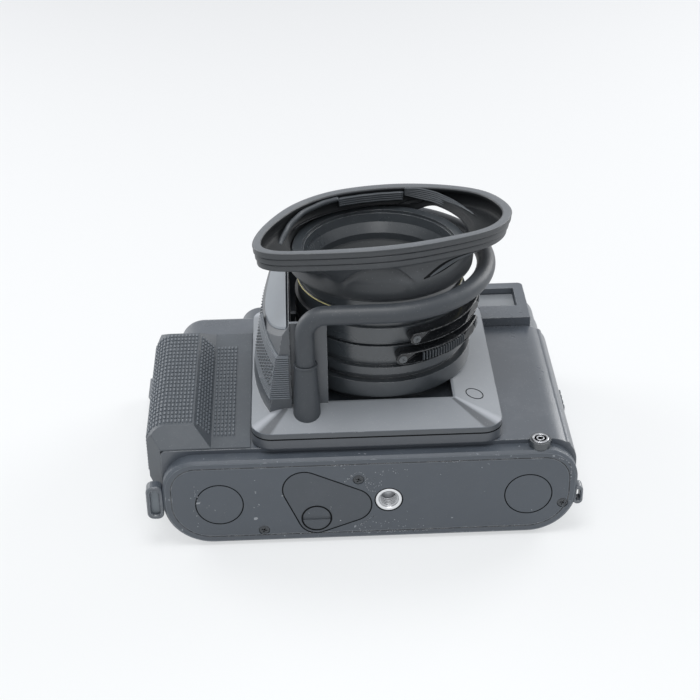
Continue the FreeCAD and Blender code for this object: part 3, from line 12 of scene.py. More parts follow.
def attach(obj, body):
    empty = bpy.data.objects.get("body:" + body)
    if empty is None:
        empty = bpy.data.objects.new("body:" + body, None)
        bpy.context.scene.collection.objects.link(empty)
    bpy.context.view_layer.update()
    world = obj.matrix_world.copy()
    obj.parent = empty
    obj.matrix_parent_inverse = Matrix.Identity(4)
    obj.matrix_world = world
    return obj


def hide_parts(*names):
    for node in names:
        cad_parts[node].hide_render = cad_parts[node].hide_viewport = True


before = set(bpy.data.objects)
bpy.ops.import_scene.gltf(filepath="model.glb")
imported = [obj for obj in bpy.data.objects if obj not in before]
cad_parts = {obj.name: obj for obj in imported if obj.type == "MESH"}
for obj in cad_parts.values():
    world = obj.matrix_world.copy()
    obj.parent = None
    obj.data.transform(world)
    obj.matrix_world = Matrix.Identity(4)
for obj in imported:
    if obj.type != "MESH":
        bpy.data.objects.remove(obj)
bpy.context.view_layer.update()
MM = 0.001

# Where the photograph was taken from, in millimetres and degrees
EYE = (-25.85, -501.39, 353.84)
PITCH = 31.487
YAW = 1.728
ROLL = 1.016
LENS = 86.03
SENSOR = 36.0
NEAREST = 0.01

# Floor colours at the front and at the back: painted shade, the floor darker towards the back
FLOOR_NEAR = (0.93, 0.945, 0.955)
FLOOR_FAR = (0.83, 0.84, 0.855)
FLOOR_FADE = (-0.12, 0.5)
FLOOR_REACH = 6000.0
FLOOR_GLOW = 0.6
SKY_COLOUR = (0.95, 0.975, 1.0)
SKY_LIGHT = 0.42

# Softboxes: place, target and width in millimetres, and power in watts
SOFTBOXES = {
    "top_softbox": ((-40, -160, 810), (0, -30, 30), 380, 3.1),
    "front_softbox": ((0, -760, 640), (0, -40, 20), 420, 0.7),
    "right_softbox": ((600, 420, 330), (0, 0, 30), 420, 3.0),
    "left_softbox": ((-620, 380, 330), (0, 0, 30), 420, 2.5),
}


# Node helpers

FLOAT = "NodeSocketFloat"
# The colour sockets of a Mix node, by number because its other kinds share their names
MIX_FIRST, MIX_SECOND, MIX_RESULT = 6, 7, 2


def link(tree, source, target):
    tree.links.new(source, target)


def set_input(tree, socket, value):
    """Links a socket to an output, or gives it a plain value."""
    if isinstance(value, bpy.types.NodeSocket):
        link(tree, value, socket)
    else:
        socket.default_value = value


def add_node(tree, kind, values=None, **settings):
    """A node with its settings, and its inputs by name from values or other nodes' outputs."""
    node = tree.nodes.new(kind)
    for name, setting in settings.items():
        setattr(node, name, setting)
    for name, value in (values or {}).items():
        set_input(tree, node.inputs[name], value)
    return node


def math_node(tree, operation, first, second):
    return add_node(tree, "ShaderNodeMath", {0: first, 1: second}, operation=operation).outputs["Value"]


def vector_math(tree, operation, first, second, result="Vector"):
    node = add_node(tree, "ShaderNodeVectorMath", {0: first, 1: second}, operation=operation)
    return node.outputs[result]


def join(tree, **parts):
    """A vector from a value or an output for its X, Y and Z."""
    return add_node(tree, "ShaderNodeCombineXYZ", parts).outputs["Vector"]


def split(tree, vector):
    """The outputs X, Y and Z of a vector."""
    return add_node(tree, "ShaderNodeSeparateXYZ", {"Vector": vector}).outputs


def ramp(tree, value, start, end, low=0.0, high=1.0):
    """A value that goes from low at start to high at end, and stays level beyond them."""
    return add_node(tree, "ShaderNodeMapRange", {"Value": value, "From Min": start, "From Max": end,
                                                 "To Min": low, "To Max": high}).outputs["Result"]


def own_place(tree):
    """Where a spot lies on its piece, so that a pattern moves with the piece."""
    return add_node(tree, "ShaderNodeTexCoord").outputs["Object"]


def facing_parts(tree):
    """The outputs X, Y and Z of the direction that a face looks in."""
    return split(tree, add_node(tree, "ShaderNodeNewGeometry").outputs["Normal"])


def noise(tree, scale, detail, roughness):
    return add_node(tree, "ShaderNodeTexNoise", {"Vector": own_place(tree), "Scale": scale, "Detail": detail,
                                                 "Roughness": roughness}).outputs["Fac"]


def mix_colour(tree, factor, first, second):
    """A mix of two colours, each a tuple or an output."""
    node = add_node(tree, "ShaderNodeMix", {"Factor": factor}, data_type="RGBA")
    for number, colour in ((MIX_FIRST, first), (MIX_SECOND, second)):
        set_input(tree, node.inputs[number], (*colour, 1) if isinstance(colour, tuple) else colour)
    return node.outputs[MIX_RESULT]


def mix_shaders(tree, factor, first, second, target):
    """Sends the first shader to the target, and the second in its place as far as the factor says."""
    mix = tree.nodes.new("ShaderNodeMixShader")
    for socket, source in zip(mix.inputs, (factor, first, second)):
        link(tree, source, socket)
    link(tree, mix.outputs["Shader"], target)


def new_material(name):
    """A material, its tree and the inputs of its shader."""
    material = bpy.data.materials.new(name)
    material.use_nodes = True
    return material, material.node_tree, material.node_tree.nodes["Principled BSDF"].inputs


# Pieces

def add_to_scene(name, data):
    item = bpy.data.objects.new(name, data)
    bpy.context.scene.collection.objects.link(item)
    return item


def new_piece(name, points, faces, material=None):
    """An object over points in millimetres."""
    mesh = bpy.data.meshes.new(name)
    mesh.from_pydata([Vector(point) * MM for point in points], [], faces)
    if material:
        mesh.materials.append(material)
    return add_to_scene(name, mesh)


def lofted(name, bodies, material, closed=True, second_finish=None):
    """A piece of one or more bodies, each made of rows of points: closed loops of one length.

    closed: the last row joins the first one; otherwise the first and the last row are capped.
    second_finish: a second material for a single body, and the steps of each row that it covers.
    """
    points = []
    faces = []
    for rows in bodies:
        base, count, wide = len(points), len(rows), len(rows[0])
        points += [point for loop in rows for point in loop]
        for row in range(count if closed else count - 1):
            here, after = base + row * wide, base + (row + 1) % count * wide
            for spot in range(wide):
                beside = (spot + 1) % wide
                faces.append((here + spot, after + spot, after + beside, here + beside))
        if not closed:
            faces.append(tuple(range(base, base + wide)))
            faces.append(tuple(range(len(points) - wide, len(points)))[::-1])
    item = new_piece(name, points, faces, material)
    if second_finish:
        second, steps = second_finish
        item.data.materials.append(second)
        item.data.polygons.foreach_set("material_index", [int(index % wide in steps)
                                                          for index in range(len(faces))])
    shape = bmesh.new()
    shape.from_mesh(item.data)
    bmesh.ops.recalc_face_normals(shape, faces=shape.faces)
    shape.to_mesh(item.data)
    shape.free()
    return item


def finish_piece(item, body, replaced=None, smooth=False):
    """Turns a piece's modifiers into its mesh, and says what carries it and what it stands for."""
    bpy.context.view_layer.update()
    view = bpy.context.evaluated_depsgraph_get()
    mesh = bpy.data.meshes.new_from_object(item.evaluated_get(view))
    item.modifiers.clear()
    item.data = mesh
    mesh.name = item.name
    if smooth:
        mesh.polygons.foreach_set("use_smooth", [True] * len(mesh.polygons))
    if replaced:
        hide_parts(replaced)
    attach(item, body)


def around(angle, reach, level):
    """A point at a direction and a distance from the lens axis."""
    turn = math.radians(angle)
    return (reach * math.cos(turn), reach * math.sin(turn), level)


def arc(start, end, steps):
    """Even steps from one direction to another, from degrees to radians."""
    return [math.radians(start + (end - start) * step / steps) for step in range(steps + 1)]


def ease(value, low, high):
    """0 below low, 1 above high, smooth between."""
    part = min(1.0, max(0.0, (value - low) / (high - low)))
    return part * part * (3 - 2 * part)


# Camera, light and floor

def make_camera():
    data = bpy.data.cameras.new("photo_camera")
    data.lens = LENS
    data.sensor_width = SENSOR
    data.clip_start = NEAREST
    camera = add_to_scene("photo_camera", data)
    look = (Matrix.Rotation(math.radians(-YAW), 4, "Z")
            @ Matrix.Rotation(math.radians(90 - PITCH), 4, "X"))
    camera.matrix_world = (Matrix.Translation(Vector(EYE) * MM) @ look
                           @ Matrix.Rotation(math.radians(-ROLL), 4, "Z"))
    bpy.context.scene.camera = camera


def make_lamp(name, place, target, size, power):
    """A square softbox at a place, aimed at a target."""
    data = bpy.data.lights.new(name, "AREA")
    data.size = size * MM
    data.energy = power
    aim = (Vector(target) - Vector(place)).to_track_quat("-Z", "Y")
    lamp = add_to_scene(name, data)
    lamp.matrix_world = Matrix.Translation(Vector(place) * MM) @ aim.to_matrix().to_4x4()


def shown_to_the_eye(tree):
    """1 for rays from the camera, and for those seen in metal and through glass."""
    rays = add_node(tree, "ShaderNodeLightPath").outputs
    shine = math_node(tree, "MAXIMUM", rays["Is Camera Ray"], rays["Is Glossy Ray"])
    return math_node(tree, "MAXIMUM", shine, rays["Is Transmission Ray"])


def make_floor():
    """A pale floor that glows faintly, so the object's shadow on it stays light."""
    material, tree, shader = new_material("studio_floor")
    shader["Roughness"].default_value = 0.9
    shader["Specular IOR Level"].default_value = 0.1
    tone = mix_colour(tree, ramp(tree, split(tree, own_place(tree))["Y"], *FLOOR_FADE), FLOOR_NEAR, FLOOR_FAR)
    link(tree, tone, shader["Base Color"])
    glow = add_node(tree, "ShaderNodeEmission", {"Color": tone, "Strength": 1.0})
    mix_shaders(tree, math_node(tree, "MULTIPLY", shown_to_the_eye(tree), FLOOR_GLOW),
                tree.nodes["Principled BSDF"].outputs["BSDF"], glow.outputs["Emission"],
                tree.nodes["Material Output"].inputs["Surface"])
    corners = [(across * FLOOR_REACH, along * FLOOR_REACH, 0)
               for across, along in ((-1, -1), (1, -1), (1, 1), (-1, 1))]
    new_piece("studio_floor", corners, [(0, 1, 2, 3)], material)


def make_sky():
    """A soft even light that looks like the far floor to the eye."""
    world = bpy.data.worlds.new("studio_sky")
    world.use_nodes = True
    tree = world.node_tree
    sky = tree.nodes["Background"]
    sky.inputs["Color"].default_value = (*SKY_COLOUR, 1)
    sky.inputs["Strength"].default_value = SKY_LIGHT
    shown = add_node(tree, "ShaderNodeBackground", {"Color": (*FLOOR_FAR, 1), "Strength": 1.0})
    mix_shaders(tree, shown_to_the_eye(tree), sky.outputs["Background"], shown.outputs["Background"],
                tree.nodes["World Output"].inputs["Surface"])
    bpy.context.scene.world = world


def make_stage():
    """A pale floor, a pale sky and four large softboxes."""
    make_floor()
    make_sky()
    for name, values in SOFTBOXES.items():
        make_lamp(name, *values)
    bpy.context.scene.view_settings.view_transform = "Standard"


# Shader groups

BEVEL_SAMPLES = 4
# From where to where each effect grows, as the value that drives it
EDGE_TURN = (0.985, 0.9)
CHIP_CUT = (0.7, 0.73)
SPECK_SIZE = (0.13, 0.09)
VEIL_CUT = (0.5, 0.8)
DUST_LEAN = (-0.2, 1.0)
PAINTED_SHEEN_LEAN = (0.8, 0.94)
VEIL_SHARE = 0.25
DUST_LEAST = 0.15
# Painted shade and highlight at sloping corners: the turn of a slope to the side at which its dark band
# (painted shade) and its light band (painted highlight) start, are full and end
MITRE_BANDS = {"Dark": (0.03, 0.15, 0.42, 0.5), "Light": (0.5, 0.6, 0.7, 0.9)}
MITRE_SLOPE = 0.85


def start_group(name, inputs, outputs):
    """An empty shader group of plain numbers: its tree, its given values and the sockets of its results.

    inputs: name to default; outputs: names.
    """
    tree = bpy.data.node_groups.new(name, "ShaderNodeTree")
    for title, default in inputs.items():
        tree.interface.new_socket(title, in_out="INPUT", socket_type=FLOAT).default_value = default
    for title in outputs:
        tree.interface.new_socket(title, in_out="OUTPUT", socket_type=FLOAT)
    return tree, tree.nodes.new("NodeGroupInput").outputs, tree.nodes.new("NodeGroupOutput").inputs


def make_grain_group():
    """Fine moulded grain: a height, and a slow unevenness of the sheen."""
    tree, given, result = start_group("moulded_grain", {"Scale": 3000.0}, ("Height", "Cloud"))
    link(tree, noise(tree, scale=given["Scale"], detail=3.0, roughness=0.6), result["Height"])
    link(tree, noise(tree, scale=45.0, detail=4.0, roughness=0.6), result["Cloud"])
    return tree


def make_edge_group():
    """Worn edges, which also serve as painted highlights along edges: 1 on a broken line along sharp edges, 0
    on the faces.
    """
    tree, given, result = start_group("worn_edges_and_highlights", {"Reach": 0.0004, "Wear": 0.5}, ("Mask",))
    flat = add_node(tree, "ShaderNodeNewGeometry").outputs["True Normal"]
    soft = add_node(tree, "ShaderNodeBevel", {"Radius": given["Reach"]}, samples=BEVEL_SAMPLES)
    edge = ramp(tree, vector_math(tree, "DOT_PRODUCT", flat, soft.outputs["Normal"], "Value"), *EDGE_TURN)
    patches = noise(tree, scale=260.0, detail=5.0, roughness=0.7)
    kept = math_node(tree, "GREATER_THAN", patches, math_node(tree, "SUBTRACT", 1.0, given["Wear"]))
    link(tree, math_node(tree, "MULTIPLY", edge, kept), result["Mask"])
    return tree


def make_chip_group():
    """Small chips in the paint: 1 on a chip, 0 elsewhere."""
    tree, given, result = start_group("chipped_paint", {"Amount": 0.5}, ("Mask",))
    chips = ramp(tree, noise(tree, scale=420.0, detail=3.0, roughness=0.55), *CHIP_CUT)
    link(tree, math_node(tree, "MULTIPLY", chips, given["Amount"]), result["Mask"])
    return tree


def make_dust_group():
    """Dust: sparse pale specks and a thin veil, thicker on faces that look up."""
    tree, given, result = start_group("dust", {"Amount": 0.3}, ("Mask",))
    cells = add_node(tree, "ShaderNodeTexVoronoi", {"Vector": own_place(tree), "Scale": 900.0})
    specks = ramp(tree, cells.outputs["Distance"], *SPECK_SIZE)
    veil = ramp(tree, noise(tree, scale=120.0, detail=6.0, roughness=0.7), *VEIL_CUT, high=VEIL_SHARE)
    settled = ramp(tree, facing_parts(tree)["Z"], *DUST_LEAN, low=DUST_LEAST)
    both = math_node(tree, "MULTIPLY", math_node(tree, "MAXIMUM", specks, veil), settled)
    link(tree, math_node(tree, "MULTIPLY", both, given["Amount"]), result["Mask"])
    return tree


def make_painted_sheen_group():
    """Painted sheen: a pale colour laid over the faces that look up, above a level, standing in for the
    highlight of an overhead light.
    """
    tree, given, result = start_group("painted_sheen_mask", {"Amount": 0.5, "Level": 0.0}, ("Mask",))
    settled = ramp(tree, facing_parts(tree)["Z"], *PAINTED_SHEEN_LEAN)
    above = math_node(tree, "GREATER_THAN", split(tree, own_place(tree))["Z"], given["Level"])
    both = math_node(tree, "MULTIPLY", settled, above)
    link(tree, math_node(tree, "MULTIPLY", both, given["Amount"]), result["Mask"])
    return tree


def make_corner_light_group():
    """Painted light where sloping faces meet at a corner: a painted shade band towards the front, and a
    painted highlight band towards the side.
    """
    tree, given, result = start_group("corner_shade_and_highlight", {"Strength": 0.8}, MITRE_BANDS)
    parts = facing_parts(tree)
    wide = math_node(tree, "ABSOLUTE", parts["X"], 0.0)
    near = math_node(tree, "ABSOLUTE", parts["Y"], 0.0)
    turn = math_node(tree, "DIVIDE", wide, math_node(tree, "ADD", wide, near))
    sloping = math_node(tree, "GREATER_THAN", parts["Z"], MITRE_SLOPE)
    weight = math_node(tree, "MULTIPLY", sloping, given["Strength"])
    for title, (low, start, end, high) in MITRE_BANDS.items():
        band = math_node(tree, "MINIMUM", ramp(tree, turn, low, start), ramp(tree, turn, high, end))
        link(tree, math_node(tree, "MULTIPLY", band, weight), result[title])
    return tree


GRAIN = make_grain_group()
WORN_EDGES_AND_HIGHLIGHTS = make_edge_group()
CHIPS = make_chip_group()
DUST = make_dust_group()
PAINTED_SHEEN_GROUP = make_painted_sheen_group()
CORNER_LIGHT_GROUP = make_corner_light_group()


def use_group(tree, group, **values):
    """A group's outputs, with its inputs set."""
    return add_node(tree, "ShaderNodeGroup", values, node_tree=group).outputs


# Finishes

BLACK = (0.07, 0.083, 0.102)
WORN = (0.27, 0.29, 0.31)
BARE = (0.5, 0.52, 0.55)
DUST_COLOUR = (0.55, 0.56, 0.58)
# The colour of the painted sheen on faces that look up
PAINTED_SHEEN_COLOUR = (0.43, 0.46, 0.5)
# The colours of the painted shade band and the painted highlight band at sloping corners
CORNER_SHADE_COLOUR = (0.05, 0.057, 0.067)
CORNER_HIGHLIGHT_COLOUR = (0.4, 0.42, 0.46)
# How far the slow cloud moves the colour and the roughness, and the span of the cloud that does it
COLOUR_SPREAD = 0.12
SHEEN_SPREAD = 0.05
SHEEN_CLOUD = (0.3, 0.7)
GRAIN_DEPTH = 0.0003


def dusty_material(name, colour, worn, rough, grain_scale=3000.0, grain=0.04, edge=0.35, edge_reach=0.3,
                   chips=0.0, dust=0.25, metallic=0.0, specular=0.5, painted_sheen=0.0, painted_sheen_from=0.0, painted_corners=False):
    """A coloured, grained surface with worn edges that also serve as painted edge highlights, chips and dust.
    edge_reach is in millimetres.

    painted_sheen: how far a pale painted sheen, standing in for an overhead highlight, covers the faces that
    look up, from a level in millimetres.
    painted_corners: the sloping faces show a painted shade band and a painted highlight band where they meet.
    """
    material, tree, shader = new_material(name)
    shader["Metallic"].default_value = metallic
    shader["Specular IOR Level"].default_value = specular
    grained = use_group(tree, GRAIN, Scale=grain_scale)
    deeper = tuple(part * (1 - COLOUR_SPREAD) for part in colour)
    lighter = tuple(min(1, part * (1 + COLOUR_SPREAD)) for part in colour)
    tone = mix_colour(tree, grained["Cloud"], deeper, lighter)
    layers = [(use_group(tree, WORN_EDGES_AND_HIGHLIGHTS, Reach=edge_reach * MM, Wear=edge)["Mask"], worn)]
    if chips:
        layers.append((use_group(tree, CHIPS, Amount=chips)["Mask"], worn))
    if painted_sheen:
        layers.append((use_group(tree, PAINTED_SHEEN_GROUP, Amount=painted_sheen, Level=painted_sheen_from * MM)["Mask"], PAINTED_SHEEN_COLOUR))
    if painted_corners:
        bands = use_group(tree, CORNER_LIGHT_GROUP)
        layers += [(bands["Dark"], CORNER_SHADE_COLOUR), (bands["Light"], CORNER_HIGHLIGHT_COLOUR)]
    layers.append((use_group(tree, DUST, Amount=dust)["Mask"], DUST_COLOUR))
    for mask, over in layers:
        tone = mix_colour(tree, mask, tone, over)
    link(tree, tone, shader["Base Color"])
    sheen = ramp(tree, grained["Cloud"], *SHEEN_CLOUD, rough - SHEEN_SPREAD, rough + SHEEN_SPREAD)
    link(tree, sheen, shader["Roughness"])
    soft = add_node(tree, "ShaderNodeBevel", {"Radius": edge_reach * MM}, samples=BEVEL_SAMPLES)
    bump = add_node(tree, "ShaderNodeBump", {"Strength": grain, "Distance": GRAIN_DEPTH,
                                             "Height": grained["Height"], "Normal": soft.outputs["Normal"]})
    link(tree, bump.outputs["Normal"], shader["Normal"])
    return material


def glass_material(name, tint, rough=0.02, clear=1.0):
    """Glass with a faint cloud in its tint. clear: how much light goes through."""
    material, tree, shader = new_material(name)
    shader["Transmission Weight"].default_value = clear
    shader["IOR"].default_value = 1.5
    shader["Roughness"].default_value = rough
    cloud = use_group(tree, GRAIN, Scale=400.0)["Cloud"]
    link(tree, mix_colour(tree, cloud, tint, tuple(part * 0.97 for part in tint)), shader["Base Color"])
    return material


PAINT = {"edge": 0.32, "grain_scale": 1800.0, "grain": 0.06, "specular": 0.7}
SOFT = {"grain_scale": 2200.0, "grain": 0.05, "edge_reach": 0.25}
METAL = {"metallic": 1.0, "dust": 0.05}
CLEAN_METAL = {"metallic": 1.0, "dust": 0.0}

# The moulded black: its wide pale worn edges are wear and also painted highlights along its edges
moulded = dusty_material("moulded_black", BLACK, WORN, 0.31, specular=1.0, edge=0.55, edge_reach=0.4)
base_black = dusty_material("base_black", (0.058, 0.067, 0.081), WORN, 0.4, specular=0.9, edge=0.5)
# The lens box: a painted sheen on its up-facing slopes above the well floor, and painted shade and highlight
# bands at its corners
box_black = dusty_material("lens_box_black", (0.05, 0.059, 0.071), WORN, 0.44, specular=1.0, edge=0.5,
                           grain=0.03, painted_sheen=0.5, painted_sheen_from=42.2, painted_corners=True)
lid_paint = dusty_material("lid_grey", (0.056, 0.067, 0.082), BARE, 0.42, chips=0.2, **PAINT)
cover_paint = dusty_material("cover_grey", (0.068, 0.082, 0.101), BARE, 0.42, chips=0.55, **PAINT)
ring_black = dusty_material("ring_black", (0.048, 0.056, 0.064), (0.25, 0.26, 0.27), 0.3, grain=0.02,
                            edge=0.5, edge_reach=0.2, specular=0.9)
bar_black = dusty_material("bar_black", (0.045, 0.052, 0.061), (0.2, 0.21, 0.22), 0.48, grain=0.03, edge=0.2)
gloss_black = dusty_material("gloss_black", (0.016, 0.018, 0.021), (0.3, 0.31, 0.32), 0.16, grain=0.01,
                             edge=0.5, edge_reach=0.2)
flat_black = dusty_material("flat_black", (0.03, 0.033, 0.036), (0.09, 0.09, 0.09), 0.55, grain=0.06,
                            dust=0.12)
grip_rubber = dusty_material("grip_rubber", (0.076, 0.088, 0.102), (0.17, 0.185, 0.2), 0.5, grain=0.05,
                             specular=0.6, edge=0.2)
# Lighter than the grip rubber as a painted highlight on the studs
stud_rubber_highlit = dusty_material("stud_rubber_highlit", (0.115, 0.133, 0.155), (0.24, 0.26, 0.28), 0.42, grain=0.02,
                             specular=0.8, edge=0.2, dust=0.1)
strip_rubber = dusty_material("strip_rubber", (0.062, 0.071, 0.081), (0.15, 0.16, 0.17), 0.5, edge=0.2)
# The hood rubber carries a light painted sheen on its faces that look up
hood_rubber = dusty_material("hood_rubber", (0.036, 0.041, 0.047), (0.13, 0.14, 0.15), 0.5, dust=0.3,
                             specular=0.7, edge=0.3, painted_sheen=0.2, **SOFT)
# The hood's inside: the same rubber painted darker, as painted shade
hood_inside_shade = dusty_material("hood_inside_shade", (0.014, 0.016, 0.018), (0.04, 0.042, 0.045), 0.6, dust=0.1,
                             specular=0.25, edge=0.2, **SOFT)
plate_face = dusty_material("plate_face", (0.21, 0.235, 0.265), (0.36, 0.37, 0.39), 0.36, grain=0.02,
                            dust=0.1)
lever_rib = dusty_material("lever_rib", (0.06, 0.069, 0.079), (0.16, 0.17, 0.18), 0.4, grain=0.02, dust=0.1)
lug_fill = dusty_material("lug_fill", (0.2, 0.225, 0.25), (0.3, 0.32, 0.34), 0.5, grain=0.03, dust=0.1)
chip_pale = dusty_material("chip_pale", (0.42, 0.44, 0.47), BARE, 0.5, grain=0.02, dust=0.0)
# Pale lines that stand in for highlights along bevels and creases: painted highlight
painted_edge_highlight = dusty_material("painted_edge_highlight", (0.15, 0.17, 0.195), (0.4, 0.42, 0.45), 0.4, grain=0.02, edge=0.4)
seam_black = dusty_material("seam_black", (0.006, 0.007, 0.008), (0.01, 0.01, 0.01), 0.7, grain=0.02,
                            dust=0.0, specular=0.1)
yellow_line = dusty_material("yellow_line", (0.75, 0.68, 0.3), (0.8, 0.75, 0.5), 0.4, grain=0.01, edge=0.1,
                             edge_reach=0.05)
screw_black = dusty_material("screw_black", (0.05, 0.056, 0.063), (0.3, 0.31, 0.33), 0.35, grain=0.02,
                             edge=0.5, edge_reach=0.12)
screw_grey = dusty_material("screw_grey", (0.09, 0.1, 0.11), (0.5, 0.51, 0.52), 0.35, grain=0.02, edge=0.6,
                            edge_reach=0.12)
bright = dusty_material("bright_metal", (0.5, 0.51, 0.53), (0.8, 0.8, 0.8), 0.3, **METAL)
chrome = dusty_material("chrome", (0.62, 0.63, 0.65), (0.9, 0.9, 0.9), 0.2, grain=0.01, **METAL)
brass = dusty_material("brass", (0.6, 0.45, 0.2), (0.8, 0.68, 0.4), 0.3, **METAL)
blade = dusty_material("steel_blade", (0.16, 0.16, 0.17), (0.3, 0.3, 0.3), 0.35, **CLEAN_METAL)
spring_steel = dusty_material("spring_steel", (0.5, 0.5, 0.52), (0.7, 0.7, 0.7), 0.3, **CLEAN_METAL)
bush_face = dusty_material("bush_face", (0.8, 0.81, 0.83), (0.9, 0.9, 0.9), 0.4, edge=0.5, edge_reach=0.15,
                           **METAL)
# The bush's steel painted darker in its thread as painted shade, its pale edge lines as painted highlights
bush_thread_shaded = dusty_material("bush_thread_shaded", (0.5, 0.51, 0.53), (0.8, 0.81, 0.82), 0.3, edge=0.7,
                             edge_reach=0.15, **CLEAN_METAL)
clear_glass = glass_material("coated_glass", (0.86, 0.9, 0.94))
clear_pane = glass_material("clear_pane", (0.9, 0.92, 0.93))
smoked_pane = glass_material("smoked_pane", (0.3, 0.32, 0.345), rough=0.2, clear=0.25)

NODE_LOOKS = (
    (moulded, ("body_shell", "top_cover", "back_door", "button_collar", "advance_lever", "door_latch",
               "strap_lugs")),
    (base_black, ("lens_box_base",)),
    (box_black, ("lens_box",)),
    (lid_paint, ("battery_cover", "battery_screw")),
    (cover_paint, ("bottom_cover", "spool_caps")),
    (ring_black, ("sync_collar", "lens_mount", "focus_ring", "aperture_ring", "speed_ring", "lens_barrel",
                  "hood_ring", "eyepiece_ring")),
    (bar_black, ("bumper_bar",)),
    (gloss_black, ("accessory_shoe", "focus_lever", "aperture_lever", "pressure_plate", "memo_holder",
                   "case_screws", "counter_disc", "shutter_button")),
    (flat_black, ("name_ring", "iris_housing", "film_gate", "take_up_spool")),
    (grip_rubber, ("grip_cover",)),
    (stud_rubber_highlit, ("tower_grip",)),
    (hood_rubber, ("rubber_hood",)),
    (plate_face, ("nameplate",)),
    (bright, ("sync_socket", "battery_cells", "hinge_pin", "spool_studs")),
    (bush_face, ("tripod_bush",)),
    (chrome, ("focus_lever_screws", "aperture_lever_screws")),
    (brass, ("shoe_contact",)),
    (blade, ("iris_blade_1", "iris_blade_2", "iris_blade_3", "iris_blade_4", "iris_blade_5")),
    (spring_steel, ("plate_springs",)),
    (clear_glass, ("front_element", "rear_element", "finder_block")),
    (clear_pane, ("eyepiece_glass", "frameline_window", "rangefinder_window")),
    (smoked_pane, ("finder_window", "counter_window")),
)


def dress_nodes():
    """Gives every solid of the frame its finish."""
    for look, names in NODE_LOOKS:
        for name in names:
            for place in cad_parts[name].material_slots:
                place.material = look


# Studs, ribs and screw heads

STUD_TAPER = (0.7, 0.8, 1.0)
STUD_CROWN = 0.00012
STUD_MIDDLE = 0.00001
SCREW_SIDES = 32
SCREW_RIM = 0.8
SCREW_TOP = 0.8
SCREW_SLOT_REACH = 1.107


def geometry_tree(name, sizes):
    """A geometry node tree with named sizes, and a material input for what it makes."""
    tree = bpy.data.node_groups.new(name, "GeometryNodeTree")
    tree.interface.new_socket("Geometry", in_out="INPUT", socket_type="NodeSocketGeometry")
    for title, default in sizes.items():
        tree.interface.new_socket(title, in_out="INPUT", socket_type=FLOAT).default_value = default
    tree.interface.new_socket("Finish", in_out="INPUT", socket_type="NodeSocketMaterial")
    tree.interface.new_socket("Geometry", in_out="OUTPUT", socket_type="NodeSocketGeometry")
    return tree, tree.nodes.new("NodeGroupInput").outputs, tree.nodes.new("NodeGroupOutput").inputs


def stand_on_points(tree, given, result, shape, along_axis):
    """Ends a tree: the shape on every point, turned by the directions kept there, as real geometry."""
    facing, along = (add_node(tree, "GeometryNodeInputNamedAttribute", {"Name": title},
                              data_type="FLOAT_VECTOR").outputs["Attribute"] for title in ("facing", "along"))
    stand = add_node(tree, "FunctionNodeAxesToRotation", {"Primary Axis": facing, "Secondary Axis": along},
                     primary_axis="Z", secondary_axis=along_axis)
    field = add_node(tree, "GeometryNodeInstanceOnPoints",
                     {"Points": given["Geometry"], "Instance": shape, "Rotation": stand.outputs["Rotation"]})
    real = add_node(tree, "GeometryNodeRealizeInstances", {"Geometry": field.outputs["Instances"]})
    done = add_node(tree, "GeometryNodeSetMaterial",
                    {"Geometry": real.outputs["Geometry"], "Material": given["Finish"]})
    link(tree, done.outputs["Geometry"], result["Geometry"])


def make_stud_tree():
    """A small stud on every point of a mesh, narrower and a little crowned at its top."""
    tree, given, result = geometry_tree("stud_field", {"Width": 0.0008, "Length": 0.0016, "Height": 0.0007})
    size = join(tree, X=given["Width"], Y=given["Length"], Z=given["Height"])
    stud = add_node(tree, "GeometryNodeMeshCube", {"Size": size, "Vertices X": 3})
    place = add_node(tree, "GeometryNodeInputPosition").outputs["Position"]
    parts = split(tree, place)
    upper = math_node(tree, "GREATER_THAN", parts["Z"], 0.0)
    middle = math_node(tree, "COMPARE", parts["X"], 0.0)
    middle.node.inputs[2].default_value = STUD_MIDDLE
    crown = join(tree, Z=math_node(tree, "MULTIPLY", middle, STUD_CROWN))
    top = vector_math(tree, "ADD", vector_math(tree, "MULTIPLY", place, STUD_TAPER), crown)
    shaped = add_node(tree, "GeometryNodeSetPosition",
                      {"Geometry": stud.outputs["Mesh"], "Selection": upper, "Position": top})
    stand_on_points(tree, given, result, shaped.outputs["Geometry"], "Y")
    return tree


